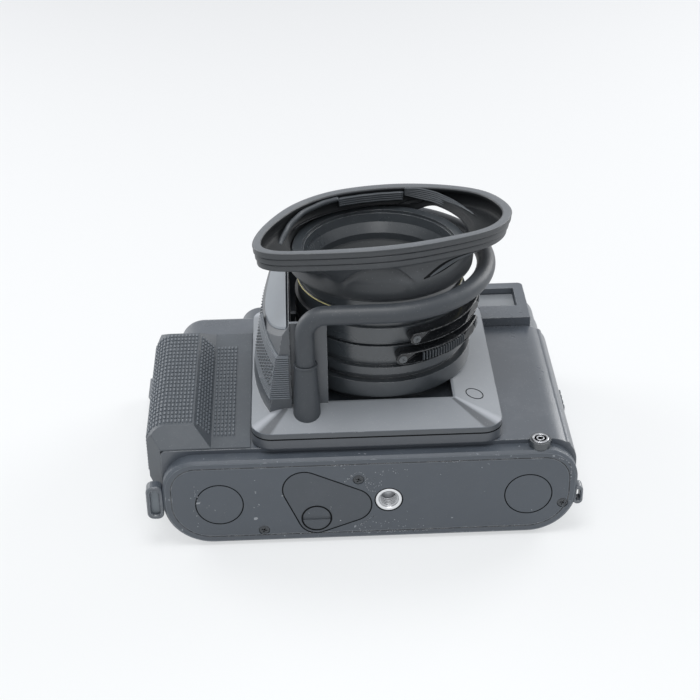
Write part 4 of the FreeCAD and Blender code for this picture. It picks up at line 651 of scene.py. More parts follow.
def make_screw_tree():
    """A screw head with a bevelled rim and a cross recess on every point of a mesh."""
    tree, given, result = geometry_tree("cross_screw", {"Radius": 0.002, "Height": 0.0008, "Slot": 0.0005})
    high = given["Height"]
    disc = add_node(tree, "GeometryNodeMeshCircle", {"Vertices": SCREW_SIDES, "Radius": given["Radius"]},
                    fill_type="NGON")
    rim = add_node(tree, "GeometryNodeExtrudeMesh",
                   {"Mesh": disc.outputs["Mesh"],
                    "Offset Scale": math_node(tree, "MULTIPLY", high, SCREW_RIM)})
    cap = add_node(tree, "GeometryNodeExtrudeMesh",
                   {"Mesh": rim.outputs["Mesh"], "Selection": rim.outputs["Top"],
                    "Offset Scale": math_node(tree, "MULTIPLY", high, 1 - SCREW_RIM)})
    head = add_node(tree, "GeometryNodeScaleElements",
                    {"Geometry": cap.outputs["Mesh"], "Selection": cap.outputs["Top"], "Scale": SCREW_TOP})
    recess = add_node(tree, "GeometryNodeMeshBoolean", {"Mesh 1": head.outputs["Geometry"]},
                      operation="DIFFERENCE", solver="EXACT")
    long = math_node(tree, "MULTIPLY", given["Radius"], SCREW_SLOT_REACH)
    for across, deep in ((long, given["Slot"]), (given["Slot"], long)):
        bar = add_node(tree, "GeometryNodeMeshCube", {"Size": join(tree, X=across, Y=deep, Z=high)})
        raised = add_node(tree, "GeometryNodeTransform",
                          {"Geometry": bar.outputs["Mesh"], "Translation": join(tree, Z=high)})
        link(tree, raised.outputs["Geometry"], recess.inputs["Mesh 2"])
    stand_on_points(tree, given, result, recess.outputs["Mesh"], "X")
    return tree


STUDS = make_stud_tree()
SCREWS = make_screw_tree()


def make_field(name, body, tree, material, sizes, places, facing, along, replaced=None):
    """The same small part on each place, each facing its own way and all running one way.

    sizes: the tree's inputs by name, in millimetres.
    """
    field = new_piece(name, places, [])
    for title, ways in (("facing", facing), ("along", [along] * len(places))):
        kept = field.data.attributes.new(title, "FLOAT_VECTOR", "POINT")
        for spot, way in zip(kept.data, ways):
            spot.vector = way
    modifier = field.modifiers.new("growth", "NODES")
    modifier.node_group = tree
    for socket in tree.interface.items_tree:
        if socket.in_out == "INPUT" and socket.name == "Finish":
            modifier[socket.identifier] = material
        elif socket.in_out == "INPUT" and socket.name in sizes:
            modifier[socket.identifier] = sizes[socket.name] * MM
    finish_piece(field, body, replaced)


# Grip

# The grip's outside in plan, as (across, level): its flats, the round at its end and its side
GRIP_PROFILE = ((-51.2, 36.6), (-58.9, 36.6), (-64.4, 42.5), (-73.9, 42.5))
GRIP_ROUND = (-73.9, 36.0, 6.5)
GRIP_ROUND_STEPS = 24
GRIP_SIDE = (-80.4, 23.4)
STUD = {"Width": 0.9, "Length": 1.8, "Height": 0.8}
STUD_START = 0.3
STUD_PITCH = 1.27
STUD_CLEARANCE = 0.5
STUD_ROWS = 24
STUD_ROW_PITCH = 2.4
STUD_FIRST_ROW = -35.2


def grip_line():
    across, level, radius = GRIP_ROUND
    bend = [(across - radius * math.sin(turn), level + radius * math.cos(turn))
            for turn in arc(0, 90, GRIP_ROUND_STEPS)[1:]]
    return [Vector(point) for point in (*GRIP_PROFILE, *bend, GRIP_SIDE)]


def make_studs():
    """Rows of studs round the grip, evenly spaced along its outside and clear of its bends."""
    line = grip_line()
    spots = []
    wanted = STUD_START
    gone = 0.0
    for first, second in zip(line, line[1:]):
        run = (second - first).length
        while wanted < gone + run:
            spot = first.lerp(second, (wanted - gone) / run)
            if min((spot - corner).length for corner in line[1:3]) > STUD_CLEARANCE:
                spots.append((spot, (second - first).normalized()))
            wanted += STUD_PITCH
        gone += run
    places = [(spot.x, STUD_FIRST_ROW + row * STUD_ROW_PITCH, spot.y) for row in range(STUD_ROWS)
              for spot, _ in spots]
    facing = [(way.y, 0.0, -way.x) for _, way in spots] * STUD_ROWS
    make_field("grip_studs", "camera", STUDS, stud_rubber_highlit, STUD, places, facing,
               (0.0, 1.0, 0.0))


# Finger levers

RING = 29.35
LEVER_REACH = 34.0
LEVER_HEIGHT = 4.4
LEVER_STEPS = 26
LEVER_TAPER = 0.7
LEVER_EDGE = 0.35
LEVER_RIB = {"Width": 0.55, "Length": 3.4, "Height": 0.8}
LEVER_SCREW = {"Radius": 1.35, "Height": 0.5, "Slot": 0.45}
LEVER_SCREW_INSETS = (3.8, 5.0)
LEVER_SCREW_SUNK = 0.25
CROSS_TURN = (0.35, 0.2, 0.9)


def lever_outline(start, end, low):
    """The lever's face as (angle, level) points: a round end on the left and a tapered one on the right."""
    half = LEVER_HEIGHT / 2
    wide = math.degrees(half / LEVER_REACH)
    narrow = wide * LEVER_TAPER
    span = end - start - 2 * wide
    left = [(start + wide + wide * math.cos(turn), low + half + half * math.sin(turn))
            for turn in arc(90, 270, 12)]
    under = [(start + wide + span * step / LEVER_STEPS, low) for step in range(1, LEVER_STEPS)]
    right = [(end - narrow + narrow * math.cos(turn), low + half + half * math.sin(turn))
             for turn in arc(-90, 90, 6)]
    over = [(end - wide - span * step / LEVER_STEPS, low + LEVER_HEIGHT) for step in range(1, LEVER_STEPS)]
    return left + under + right + over


def make_lever(name, body, start, end, low, ribs=None):
    """A finger lever bent round a ring, with its two screws. ribs: first and last direction, and number."""
    outline = lever_outline(start, end, low)
    rows = [[around(angle, reach, level) for angle, level in outline] for reach in (RING, LEVER_REACH)]
    bar = lofted(name + "_bar", [rows], gloss_black, closed=False)
    soft = bar.modifiers.new("edges", "BEVEL")
    soft.width = LEVER_EDGE * MM
    soft.segments = 2
    soft.limit_method = "ANGLE"
    finish_piece(bar, body, name)

    middle = low + LEVER_HEIGHT / 2
    spots = [start + LEVER_SCREW_INSETS[0], end - LEVER_SCREW_INSETS[1]]
    make_field(name + "_screw_heads", body, SCREWS, screw_grey, LEVER_SCREW,
               [around(angle, LEVER_REACH - LEVER_SCREW_SUNK, middle) for angle in spots],
               [around(angle, 1.0, 0.0) for angle in spots], CROSS_TURN, name + "_screws")
    if ribs:
        first, last, number = ribs
        angles = [first + (last - first) * step / (number - 1) for step in range(number)]
        make_field(name + "_ribs", body, STUDS, lever_rib, LEVER_RIB,
                   [around(angle, LEVER_REACH, middle) for angle in angles],
                   [around(angle, 1.0, 0.0) for angle in angles], (0.0, 0.0, 1.0))


# Screws, sockets and seams

BASE_FACE = -48.3
BASE_CURVE = 0.4
OUT_OF_BASE = (0.0, -1.0, 0.0)
CASE_SCREWS = ((-10.1, 25.3), (-42.3, 5.7), (58.9, 12.8))
CASE_SCREW = {"Radius": 1.8, "Height": 0.7, "Slot": 0.55}
CASE_SCREW_SUNK = 0.75
TURNED_STEPS = 72
BUSH = (0.0, BASE_FACE, 16.7)
BUSH_RIM = [(4.45, -0.9), (4.45, -0.1), (4.3, 0.0), (3.55, 0.0), (3.3, -0.25)]
BUSH_THREADS = 5
BUSH_THREAD_PITCH = 0.9
SOCKET = (50.8, -44.5, 37.2)
SOCKET_RINGS = [(2.85, -2.8), (2.85, -0.15), (2.7, 0.0), (2.15, 0.0), (2.0, -0.2), (2.0, -1.0), (1.4, -1.0),
                (1.4, -0.15), (1.3, 0.0), (0.95, 0.0), (0.8, -0.15), (0.8, -1.3), (0.05, -1.3), (0.05, -2.8)]
SOCKET_DARK = (4, 5, 6, 10, 11, 12)
POSTS = ((-26.5, -36.1, 64.0), (-26.5, 36.1, 64.0))
SLEEVE = [(3.35, -0.6), (3.35, 0.1), (3.75, 0.15), (3.95, 0.02), (4.0, -0.35), (3.74, -0.75), (4.64, -20.4),
          (4.2, -20.4)]
# Lines round the bottom cover: how far in, how wide, finish. The pale lines are painted highlights on its
# bevels, the dark one a painted shade stripe.
COVER_LINES = {
    "cover_edge_line": (0.3, 0.28, painted_edge_highlight),
    "cover_step_shade": (2.1, 0.3, gloss_black),
    "cover_step_line": (2.4, 0.2, painted_edge_highlight),
}
# Seams in the base: the node they follow, which side of it (0 is both), how wide
BASE_SEAMS = {
    "left_cap_seam": ("spool_caps", -1, 0.38),
    "right_cap_seam": ("spool_caps", 1, 0.38),
    "battery_lid_seam": ("battery_cover", 0, 0.42),
}
BASE_SEAM_INSET = 0.05
BASE_LINE_RISE = 0.03
LINE_DEPTH = 0.1
COIN_SCREW = (-24.4, BASE_FACE, 10.0)
BOX_PLUG = (30.4, -27.6, 44.6)
OUT_OF_SLOPE = (0.25, 0.0, 0.968)
ROUND_SEAM_DEPTH = 0.08
# Lines round the lens box: level, width, finish. The pale crease line is a painted highlight; the dark one is
# the seam.
BOX_LINES = {"box_seam_line": (40.2, 0.5, seam_black), "box_crease_line": (42.35, 0.22, painted_edge_highlight)}
BOX_SIDES = (-45.2, 38.6, -45.0, 38.0)
BOX_CORNER = 7.0
BOX_LINE_RISE = 0.04
SPEED_LINE = (28.25, 77.5, 0.2)


def make_case_screws():
    places = [(across, BASE_FACE + CASE_SCREW_SUNK, level) for across, level in CASE_SCREWS]
    make_field("case_screw_heads", "camera", SCREWS, screw_black, CASE_SCREW, places,
               [OUT_OF_BASE] * len(places), CROSS_TURN, "case_screws")


def make_turned(name, body, material, centre, normal, section, replaced=None, second_finish=None):
    """A round piece about an axis. section: its closed outline as (reach, height above the centre)."""
    way = Vector(normal).normalized()
    side = way.cross(Vector((0, 0, 1)) if abs(way.z) < 0.9 else Vector((1, 0, 0))).normalized()
    up = way.cross(side)
    rows = []
    for step in range(TURNED_STEPS):
        turn = 2 * math.pi * step / TURNED_STEPS
        across = side * math.cos(turn) + up * math.sin(turn)
        rows.append([Vector(centre) + across * reach + way * height for reach, height in section])
    finish_piece(lofted(name, [rows], material, second_finish=second_finish), body, replaced)


def make_bush():
    """The tripod bush: a bright face, and its thread painted darker as the shade in the hole, with painted
    highlights along its edges.
    """
    section = list(BUSH_RIM)
    for turn in range(BUSH_THREADS):
        deep = -0.6 - BUSH_THREAD_PITCH * turn
        section += [(3.25, deep + 0.1), (2.75, deep - 0.2), (2.75, deep - 0.45), (3.25, deep - 0.7)]
    deep = -0.9 - BUSH_THREAD_PITCH * BUSH_THREADS
    section += [(0.2, deep), (0.2, deep - 0.5), (4.45, deep - 0.5)]
    make_turned("tripod_bush_thread", "camera", bush_face, BUSH, OUT_OF_BASE, section,
                "tripod_bush", (bush_thread_shaded, range(len(BUSH_RIM) - 1, len(section))))


def make_round_seam(name, body, centre, normal, reach, wide):
    """A dark seam round a let-in piece, as a flat ring lying on the face."""
    inner, outer = reach - wide / 2, reach + wide / 2
    low, high = -ROUND_SEAM_DEPTH, ROUND_SEAM_DEPTH / 3
    make_turned(name, body, seam_black, centre, normal,
                [(inner, low), (outer, low), (outer, high), (inner, high)])


def outline_of(node, side):
    """The convex outline of a node's points on the base face, as (across, level).

    side: -1 and 1 keep the points on the left and on the right only.
    """
    spots = sorted({(round(point.x / MM, 3), round(point.z / MM, 3))
                    for point in (node.matrix_world @ vertex.co for vertex in node.data.vertices)
                    if point.y < (BASE_FACE + BASE_CURVE) * MM and point.x * side >= 0})
    chains = []
    for line in (spots, spots[::-1]):
        chain = []
        for spot in line:
            while len(chain) > 1 and ((chain[-1][0] - chain[-2][0]) * (spot[1] - chain[-2][1])
                                      - (chain[-1][1] - chain[-2][1]) * (spot[0] - chain[-2][0])) <= 0:
                chain.pop()
            chain.append(spot)
        chains.append(chain[:-1])
    return [Vector(spot) for spot in chains[0] + chains[1]]


def make_base_line(name, node, side, inset, wide, material=seam_black):
    """A thin line that follows the outline of a piece in the base face."""
    loop = outline_of(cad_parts[node], side)
    rows = []
    for before, spot, after in zip([loop[-1]] + loop, loop, loop[1:] + [loop[0]]):
        run = ((spot - before).normalized() + (after - spot).normalized()).normalized()
        out = Vector((run.y, -run.x))
        edges = [spot + out * reach for reach in (-inset, wide - inset)]
        rows.append([(edge.x, BASE_FACE - rise, edge.y) for edge, rise in
                     ((edges[0], BASE_LINE_RISE), (edges[1], BASE_LINE_RISE), (edges[1], -LINE_DEPTH),
                      (edges[0], -LINE_DEPTH))])
    finish_piece(lofted(name, [rows], material), "camera")


def rounded_loop(left, right, low, high, radius, steps=5):
    """A rectangle with round corners."""
    points = []
    for across, level, start in ((right - radius, high - radius, 0), (left + radius, high - radius, 90),
                                 (left + radius, low + radius, 180), (right - radius, low + radius, 270)):
        points += [(across + radius * math.cos(turn), level + radius * math.sin(turn))
                   for turn in arc(start, start + 90, steps)]
    return points


def make_box_line(name, level, wide, material):
    """A thin line round the side of the lens box."""
    left, right, near, far = BOX_SIDES
    rows = []
    for out, high in ((BOX_LINE_RISE, level - wide / 2), (BOX_LINE_RISE, level + wide / 2),
                      (-LINE_DEPTH, level + wide / 2), (-LINE_DEPTH, level - wide / 2)):
        loop = rounded_loop(left - out, right + out, near - out, far + out, BOX_CORNER, 8)
        rows.append([(across, along, high) for across, along in loop])
    finish_piece(lofted(name, [rows], material), "camera")


def make_speed_line():
    """The thin line let into the edge of the speed ring."""
    reach, level, thick = SPEED_LINE
    rows = [[around(math.degrees(angle), reach + thick * math.cos(turn), level + thick * math.sin(turn))
             for turn in arc(0, 360, 8)[:-1]] for angle in arc(0, 360, 160)[:-1]]
    finish_piece(lofted("speed_ring_line", [rows], yellow_line), "speed", smooth=True)


# Strap lugs, as left, right, low, high and corner of the outside and the opening
LUGS = (((-81.3, -75.7, 11.5, 24.7, 2.2), (-79.9, -77.0, 13.2, 23.0, 1.2)),
        ((62.4, 65.8, 11.6, 19.0, 1.7), (63.6, 64.8, 13.0, 17.6, 0.5)))
LUG_FRONT = -47.5
LUG_BACK = -44.0
LUG_SLOPE = 0.4
LUG_FILL = (-80.0, -76.9, 13.1, 23.1, 1.2)
LUG_FILL_DEPTHS = (-46.4, -45.2)


def make_lugs():
    """The strap lugs: rounded frames at the two ends, the left one with its opening filled."""
    bodies = []
    for outer, inner in LUGS:
        loops = []
        slimmed = ((outer, 0.0), (outer, 0.35), (inner, -0.3), (inner, 0.0))
        for (left, right, low, high, corner), slim in slimmed:
            loops.append(rounded_loop(left + slim, right - slim, low + slim, high - slim,
                                      max(0.2, corner - slim)))
        depths = [LUG_FRONT, LUG_FRONT - LUG_SLOPE, LUG_FRONT - LUG_SLOPE, LUG_FRONT,
                  LUG_BACK, LUG_BACK + LUG_SLOPE, LUG_BACK + LUG_SLOPE, LUG_BACK]
        bodies.append([[(across, depth, level) for across, level in loop]
                       for loop, depth in zip(loops + loops[::-1], depths)])
    finish_piece(lofted("strap_lug_frames", bodies, moulded), "camera", "strap_lugs")
    fill = [[(across, depth, level) for across, level in rounded_loop(*LUG_FILL)]
            for depth in LUG_FILL_DEPTHS]
    finish_piece(lofted("strap_lug_fill", [fill], lug_fill, closed=False), "camera")


# Worn lines in the paint of the base: their corners, how many chips, how far these stray
CHIP_LINES = (
    (((-14.9, 24.6), (-13.1, 26.1), (-12.0, 27.6), (-10.2, 28.6), (-8.5, 28.0), (-7.6, 25.7), (-7.8, 23.1),
      (-6.7, 20.8), (-4.7, 20.3)), 46, 0.12),
    (((-12.6, 3.2), (-12.3, 5.4), (-10.2, 6.6), (-7.9, 7.7), (-6.1, 9.6), (-4.4, 10.1)), 26, 0.12),
    (((-12.6, 3.2), (13.7, 3.2)), 44, 0.12),
    (((-20.0, 31.3), (-10.8, 31.4)), 16, 0.15),
    (((18.0, 31.3), (24.0, 31.3)), 9, 0.1),
    (((56.9, 31.4), (59.8, 30.0), (61.3, 27.2), (61.1, 22.0)), 26, 0.1),
    (((-64.0, 24.0), (-65.5, 18.0), (-64.0, 9.0)), 12, 0.6),
)
# Patches of scattered chips: left, right, low, high, number
CHIP_PATCHES = ((-7.3, -2.0, 20.8, 25.7, 22), (-5.0, 6.7, 26.5, 29.5, 14), (-11.4, 12.0, 3.6, 8.6, 34),
                (-66.0, 62.0, 3.0, 32.0, 14))
CHIP_SEED = 11
CHIP_SIZES = (0.07, 0.2)
CHIP_STRETCH = 1.3
CHIP_CORNERS = 5
CHIP_UNEVENNESS = 0.5
CHIP_DEPTHS = (0.035, -0.03)


def make_chips():
    """Paint chips on the base, along worn lines and scattered in patches."""
    draw = random.Random(CHIP_SEED)
    spots = []
    for line, number, stray in CHIP_LINES:
        for _ in range(number):
            part = draw.random() * (len(line) - 1)
            first, second = Vector(line[int(part)]), Vector(line[int(part) + 1])
            spot = first.lerp(second, part - int(part))
            spots.append((spot.x + draw.gauss(0, stray), spot.y + draw.gauss(0, stray)))
    for left, right, low, high, number in CHIP_PATCHES:
        spots += [(draw.uniform(left, right), draw.uniform(low, high)) for _ in range(number)]
    chips = []
    for across, level in spots:
        size = draw.uniform(*CHIP_SIZES)
        rows = []
        for depth in CHIP_DEPTHS:
            turns = [2 * math.pi * corner / CHIP_CORNERS + draw.random() * CHIP_UNEVENNESS
                     for corner in range(CHIP_CORNERS)]
            rows.append([(across + size * CHIP_STRETCH * math.cos(turn), BASE_FACE - depth,
                          level + size * math.sin(turn)) for turn in turns])
        chips.append(rows)
    finish_piece(lofted("paint_chips", chips, chip_pale, closed=False), "camera")


TOWER_RIB = {"Width": 0.55, "Length": 1.9, "Height": 0.4}
TOWER_RIB_LOW = 48.0
TOWER_RIB_ROWS = 10
TOWER_RIB_PITCH = 1.75
TOWER_RIB_NEAR = -33.5
TOWER_RIBS = 34
TOWER_RIB_STEP = 1.95
TOWER_RIB_SLANT = (0.0, 0.85, -0.5)
LEFT_OF_ALL = -90.0
# A face with its normal's X below this looks to the left
LOOKS_LEFT = -0.93


def make_tower_ribs():
    """Short slanted ribs over the side of the tower, placed by looking at it square from the left."""
    view = bpy.context.evaluated_depsgraph_get()
    walls = [BVHTree.FromObject(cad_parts[name], view) for name in ("lens_box", "tower_grip")]
    points = []
    facing = []
    for row in range(TOWER_RIB_ROWS):
        level = TOWER_RIB_LOW + row * TOWER_RIB_PITCH
        for step in range(TOWER_RIBS):
            along = TOWER_RIB_NEAR + step * TOWER_RIB_STEP + (row % 2) * TOWER_RIB_STEP / 2
            start = Vector((LEFT_OF_ALL, along, level)) * MM
            hits = [wall.ray_cast(start, Vector((1, 0, 0))) for wall in walls]
            hits = [hit for hit in hits if hit[0] is not None and hit[1].x < LOOKS_LEFT]
            if hits:
                spot, way = min(hits, key=lambda hit: hit[0].x)[:2]
                points.append(spot / MM)
                facing.append(way)
    make_field("tower_ribs", "camera", STUDS, lever_rib, TOWER_RIB, points, facing,
               TOWER_RIB_SLANT)


def make_trim():
    """The small parts and lines on the outside."""
    make_bush()
    make_turned("flash_socket", "camera", bright, SOCKET, (0, 0, 1), SOCKET_RINGS,
                "sync_socket", (seam_black, SOCKET_DARK))
    make_lugs()
    make_chips()
    make_tower_ribs()
    for name, values in COVER_LINES.items():
        make_base_line(name, "bottom_cover", 0, *values)
    make_round_seam("box_plug_seam", "camera", BOX_PLUG, OUT_OF_SLOPE, 3.0, 0.3)
    for name, (node, side, wide) in BASE_SEAMS.items():
        make_base_line(name, node, side, BASE_SEAM_INSET, wide)
    make_round_seam("coin_screw_seam", "battery_lid", COIN_SCREW, OUT_OF_BASE, 4.95, 0.55)
    make_round_seam("bush_seam", "camera", BUSH, OUT_OF_BASE, 4.65, 0.35)
    for name, values in BOX_LINES.items():
        make_box_line(name, *values)
    for number, top in enumerate(POSTS, 1):
        make_turned(f"post_sleeve_{number}", "camera", bar_black, top, (0, 0, 1), SLEEVE)


# Rubber hood

# The corners of the rim's outside, which a smooth curve goes through
RIM = ((-42.5, -22.8), (-39.4, -31.2), (-28.1, -33.8), (-1.1, -32.9), (20.1, -26.6), (38.2, -15.6),
       (44.7, 0.8), (38.9, 18.7), (24.6, 27.8), (5.0, 30.5), (-14.8, 25.3), (-29.0, 12.8), (-38.6, -6.0))
RIM_STEPS = 24
HOOD_LEVEL = 99.6
HOOD_TILT = 0.115
HOOD_LOW = 83.55
HOOD_SHOULDER = 88.9
COLLAR_INSIDE = 30.35
COLLAR_OUTSIDE = 31.6
RIM_BAND = 7.0
BAND_RIBS = 3
BAND_LEAN = 1.4
LIP = 3.4
HOOD_COUNT = 320
SKIN_STEPS = 16
FOOT_POINTS = 5
OUTER_SKIN = slice(FOOT_POINTS, FOOT_POINTS + SKIN_STEPS - 1)
# The points of the section that the darker inside finish covers, a painted shade, counted back from its end
INSIDE_SHADE_SPAN = (FOOT_POINTS + SKIN_STEPS + 3, 1)
# The far right of the collar has come off its ring, between these directions
LIFT_FROM = -14.0
LIFT_FULL_FROM = 6.0
LIFT_FULL_TO = 45.0
LIFT_TO = 78.0
LIFT_HEIGHT = 7.3
# The arched dent in the front, and the fold beside it
DENT_MIDDLE = -94.0
DENT_HALF = 20.0
FOLD_MIDDLE = -128.0
FOLD_HALF = 4.5


def rim_spline():
    """Points along the smooth closed curve through the rim's corners."""
    corners = [Vector(corner) for corner in RIM]
    count = len(corners)
    points = []
    for index in range(count):
        before, first, second, after = (corners[(index + shift) % count] for shift in (-1, 0, 1, 2))
        for step in range(RIM_STEPS):
            part = step / RIM_STEPS
            points.append(0.5 * (2 * first + (second - before) * part
                                 + (2 * before - 5 * first + 4 * second - after) * part ** 2
                                 + (3 * first - before - 3 * second + after) * part ** 3))
    return points


RIM_TABLE = sorted((math.degrees(math.atan2(point.y, point.x)), point.length) for point in rim_spline())


def signed(angle):
    """The same direction between -180 and 180 degrees."""
    return (angle + 180) % 360 - 180


def rim_reach(angle):
    """How far the rim's outside is from the lens axis in one direction."""
    wanted = signed(angle)
    below = RIM_TABLE[-1][0] - 360, RIM_TABLE[-1][1]
    for spot in RIM_TABLE + [(RIM_TABLE[0][0] + 360, RIM_TABLE[0][1])]:
        if spot[0] >= wanted:
            part = (wanted - below[0]) / (spot[0] - below[0])
            return below[1] + (spot[1] - below[1]) * part
        below = spot
    return below[1]


def rim_top(angle):
    return HOOD_LEVEL - HOOD_TILT * rim_reach(angle) * math.sin(math.radians(angle))


def lift_at(angle):
    """How far the collar is off its ring, from 0 to 1."""
    wanted = signed(angle)
    return ease(wanted, LIFT_FROM, LIFT_FULL_FROM) * (1 - ease(wanted, LIFT_FULL_TO, LIFT_TO))


def skin_line(start, leave, arrive, end):
    """Points inside a smooth curve from start to end, without its ends."""
    spots = []
    for step in range(1, SKIN_STEPS):
        part = step / SKIN_STEPS
        spots.append(start * (1 - part) ** 3 + leave * 3 * part * (1 - part) ** 2
                     + arrive * 3 * part ** 2 * (1 - part) + end * part ** 3)
    return spots


def dent_at(angle, part):
    """How far the skin is pressed in, in millimetres. part: how far up the skin, from 0 to 1."""
    across = (signed(angle) - DENT_MIDDLE) / DENT_HALF
    arch = 0.8 - 0.62 * across ** 2
    ridge = math.exp(-((part - arch) / 0.08) ** 2) * (1 - ease(abs(across), 0.85, 1.2))
    under = (1 - ease(part, arch - 0.12, arch)) * (1 - ease(abs(across), 0.55, 1.0))
    aside = (signed(angle) - FOLD_MIDDLE) / FOLD_HALF
    fold = math.exp(-(aside + (part - 0.4) * 1.6) ** 2) * math.sin(math.pi * part)
    return 2.1 * ridge + 0.7 * under + 1.3 * fold


def dented(angle, line):
    """A line of the skin with its dents, as (reach, level) points."""
    points = []
    for step, spot in enumerate(line, 1):
        deep = dent_at(angle, step / SKIN_STEPS)
        points.append((spot.x - deep * 0.8, spot.y + deep * 0.5))
    return points


def hood_section(angle):
    """The hood's closed cross-section in one direction, as (reach, level), from the outer foot round."""
    lift = lift_at(angle)
    reach = rim_reach(angle)
    top = rim_top(angle)
    band = top - RIM_BAND
    low = HOOD_LOW + LIFT_HEIGHT * lift
    shoulder = HOOD_SHOULDER + 3.6 * lift
    lean = 1.6 * lift
    outside = COLLAR_OUTSIDE + 0.5 * lift
    lean_in = BAND_LEAN * abs(math.cos(math.radians(angle)))

    # The collar's outside, and the skin up to the band
    points = [(outside - 0.3, low), (outside, low + 0.3)]
    points += [(outside + lean * part, low + (shoulder - low) * part) for part in (0.25, 0.5, 0.75)]
    start = Vector((outside + lean, shoulder))
    end = Vector((reach - 1.1 - lean_in, band + 0.05))
    points += dented(angle, skin_line(start, start + Vector((0.5, 1.8)), end + Vector((-2.2, -1.5)), end))

    # The band's ribs with grooves between them, and the lip
    points += [(reach - 0.9 - lean_in, band + 0.1), (reach - 0.65 - lean_in, band + 0.05)]
    for rib in range(BAND_RIBS):
        base = band + RIM_BAND * rib / BAND_RIBS
        face = reach - 0.34 - lean_in * (2 - rib) / 2
        points += [(face - 0.05, base + 0.12), (face, base + 0.4), (face + 0.04, base + 1.15),
                   (face, base + 1.85)]
        if rib < BAND_RIBS - 1:
            points += [(face - 0.1, base + 2.1), (face - 0.65, base + 2.16), (face - 0.6, base + 2.36)]
    lip = reach - LIP
    points += [(reach - 0.12, top - 0.25), (reach - 0.35, top - 0.06), (reach - 1.2, top),
               (lip + 0.6, top - 0.02), (lip + 0.12, top - 0.18), (lip, top - 0.6),
               (lip + 0.1, top - 1.6), (lip + 0.9, top - 2.1), (lip + 1.0, band + 1.5)]

    # The skin and the collar inside, from the top down
    start = Vector((COLLAR_INSIDE + lean, shoulder + 0.15))
    end = Vector((reach - 2.6, band + 0.9))
    inner = dented(angle, skin_line(start, start + Vector((0.4, 1.9)), end + Vector((-2.0, -1.4)), end))
    points += inner[::-1]
    points += [(COLLAR_INSIDE + lean * part, low + (shoulder - low) * part) for part in (1.0, 0.66, 0.33)]
    points += [(COLLAR_INSIDE, low + 0.25), (COLLAR_INSIDE + 0.25, low)]
    return points


def swept(angles, section):
    """Rows of points round the lens axis, from a closed cross-section for each direction."""
    return [[around(angle, reach, level) for reach, level in section(angle)] for angle in angles]


def make_hood():
    rows = swept([360.0 * index / HOOD_COUNT for index in range(HOOD_COUNT)], hood_section)
    wide = len(rows[0])
    hood = lofted("rubber_hood_skin", [rows], hood_rubber,
                  second_finish=(hood_inside_shade, range(wide - INSIDE_SHADE_SPAN[0], wide - INSIDE_SHADE_SPAN[1])))
    finish_piece(hood, "lens_head", "rubber_hood", smooth=True)


FLAP_STEPS = 14
FLAP_ROWS = 6
FLAP_UNDER = -0.3


def make_flap(name, material, start, end, half, out):
    """An almond-shaped patch lying on the skin. start, end: direction and how far up the skin."""
    rows = []
    last = SKIN_STEPS - 2
    for step in range(FLAP_STEPS + 1):
        part = step / FLAP_STEPS
        angle = start[0] + (end[0] - start[0]) * part
        skin = [Vector(spot) for spot in hood_section(angle)[OUTER_SKIN]]
        wide = half * math.sin(math.pi * (0.04 + 0.92 * part))
        upper, under = [], []
        for row in range(FLAP_ROWS + 1):
            across = 2 * row / FLAP_ROWS - 1
            place = min(last - 0.1, max(0.0, last * (start[1] + (end[1] - start[1]) * part + wide * across)))
            spot = skin[int(place)].lerp(skin[int(place) + 1], place % 1)
            for side, raised in ((upper, out * (1 - across * across)), (under, FLAP_UNDER)):
                side.append(around(angle, spot.x + 0.05 + 0.8 * raised, spot.y - 0.55 * raised))
        rows.append(upper + under[::-1])
    finish_piece(lofted(name, [rows], material, closed=False), "lens_head", smooth=True)


STRIP_THICK = 0.8
STRIP_RISE = 0.16
STRIP_TURN = 1.5


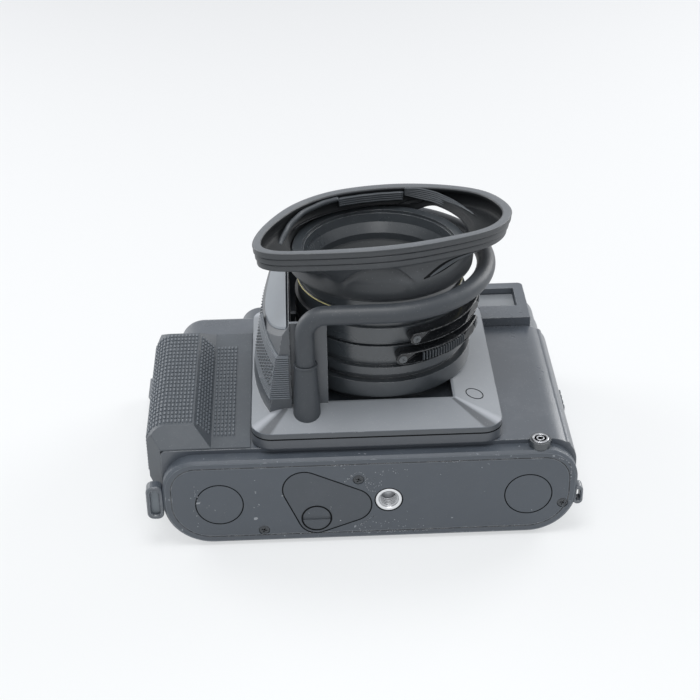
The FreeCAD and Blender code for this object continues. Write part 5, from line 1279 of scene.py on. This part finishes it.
def make_strip(name, stations, ribs):
    """A ribbed strip inside the hood.

    stations: direction, then (reach, level) of its lower and its upper edge.
    """
    def edges(angle):
        for first, second in zip(stations, stations[1:]):
            low, high = sorted((first[0], second[0]))
            if low <= angle <= high:
                share = (angle - first[0]) / (second[0] - first[0])
                part = 0.5 * ease(share, 0.0, 1.0) + 0.5 * share
                return [Vector(one).lerp(Vector(two), part) for one, two in zip(first[1:], second[1:])]
        return [Vector(edge) for edge in stations[-1][1:]]

    def section(angle):
        low, high = edges(angle)
        across = (high - low).normalized()
        out = Vector((across.y, -across.x))
        spots = []
        for step in range(ribs * 4 + 1):
            part = step / (ribs * 4)
            rise = STRIP_RISE * (1 - math.cos(2 * math.pi * ribs * part))
            spots.append(low.lerp(high, part) - out * rise)
        return spots + [high + out * STRIP_THICK, low + out * STRIP_THICK]

    first, last = stations[0][0], stations[-1][0]
    steps = max(12, int(abs(last - first) / STRIP_TURN))
    rows = swept([first + (last - first) * step / steps for step in range(steps + 1)], section)
    finish_piece(lofted(name, [rows], strip_rubber, closed=False), "lens_head", smooth=True)


def inside_rim(angle, low, high):
    """A strip's station on the rim's inside.

    low, high: how far each edge is in from the rim's outside, and down from its top.
    """
    return (angle, *((rim_reach(angle) - inset, rim_top(angle) - drop) for inset, drop in (low, high)))


FAR_STRIP = [inside_rim(angle, (4.4, 4.6), (4.3, 1.5)) for angle in (121, 108, 95, 82, 70)]
TORN_STRIP = [(69, (28.4, 93.2), (28.6, 96.0)), (60, (29.8, 92.0), (30.6, 95.9)),
              (50, (30.9, 91.5), (32.5, 95.1)), (40, (31.2, 91.2), (34.0, 93.9)),
              (30, (31.3, 90.9), (34.8, 92.9)), (18, (31.4, 90.8), (35.0, 92.2)),
              (4, (31.5, 90.8), (35.0, 92.0))]
LEFT_STRIP = [inside_rim(122, (4.4, 2.4), (4.3, 0.9)), inside_rim(142, (4.4, 3.0), (4.3, 1.2)),
              inside_rim(162, (4.6, 3.8), (4.4, 1.9)), inside_rim(178, (5.0, 6.2), (4.6, 4.0)),
              inside_rim(190, (6.0, 9.5), (5.4, 7.4))]


def make_hood_strips():
    """The loose strips inside the hood, and the torn flap at its front right with a near-black patch behind
    it, the painted shade of the gap.
    """
    make_strip("hood_far_strip", FAR_STRIP, 4)
    make_strip("hood_torn_strip", TORN_STRIP, 6)
    make_strip("hood_left_strip", LEFT_STRIP, 1)
    make_flap("hood_tear_shade", seam_black, (-66.0, 0.18), (-27.0, 0.9), 0.19, 0.2)
    make_flap("hood_tear_flap", strip_rubber, (-62.0, 0.24), (-29.0, 0.9), 0.12, 0.55)


make_camera()
make_stage()
dress_nodes()
make_hood()
make_hood_strips()
make_studs()
make_case_screws()
make_trim()
make_lever("focus_lever", "focus", -84.0, -14.0, 60.5, (-68.0, -38.0, 17))
make_lever("aperture_lever", "aperture", -76.0, -6.0, 67.5)
make_speed_line()
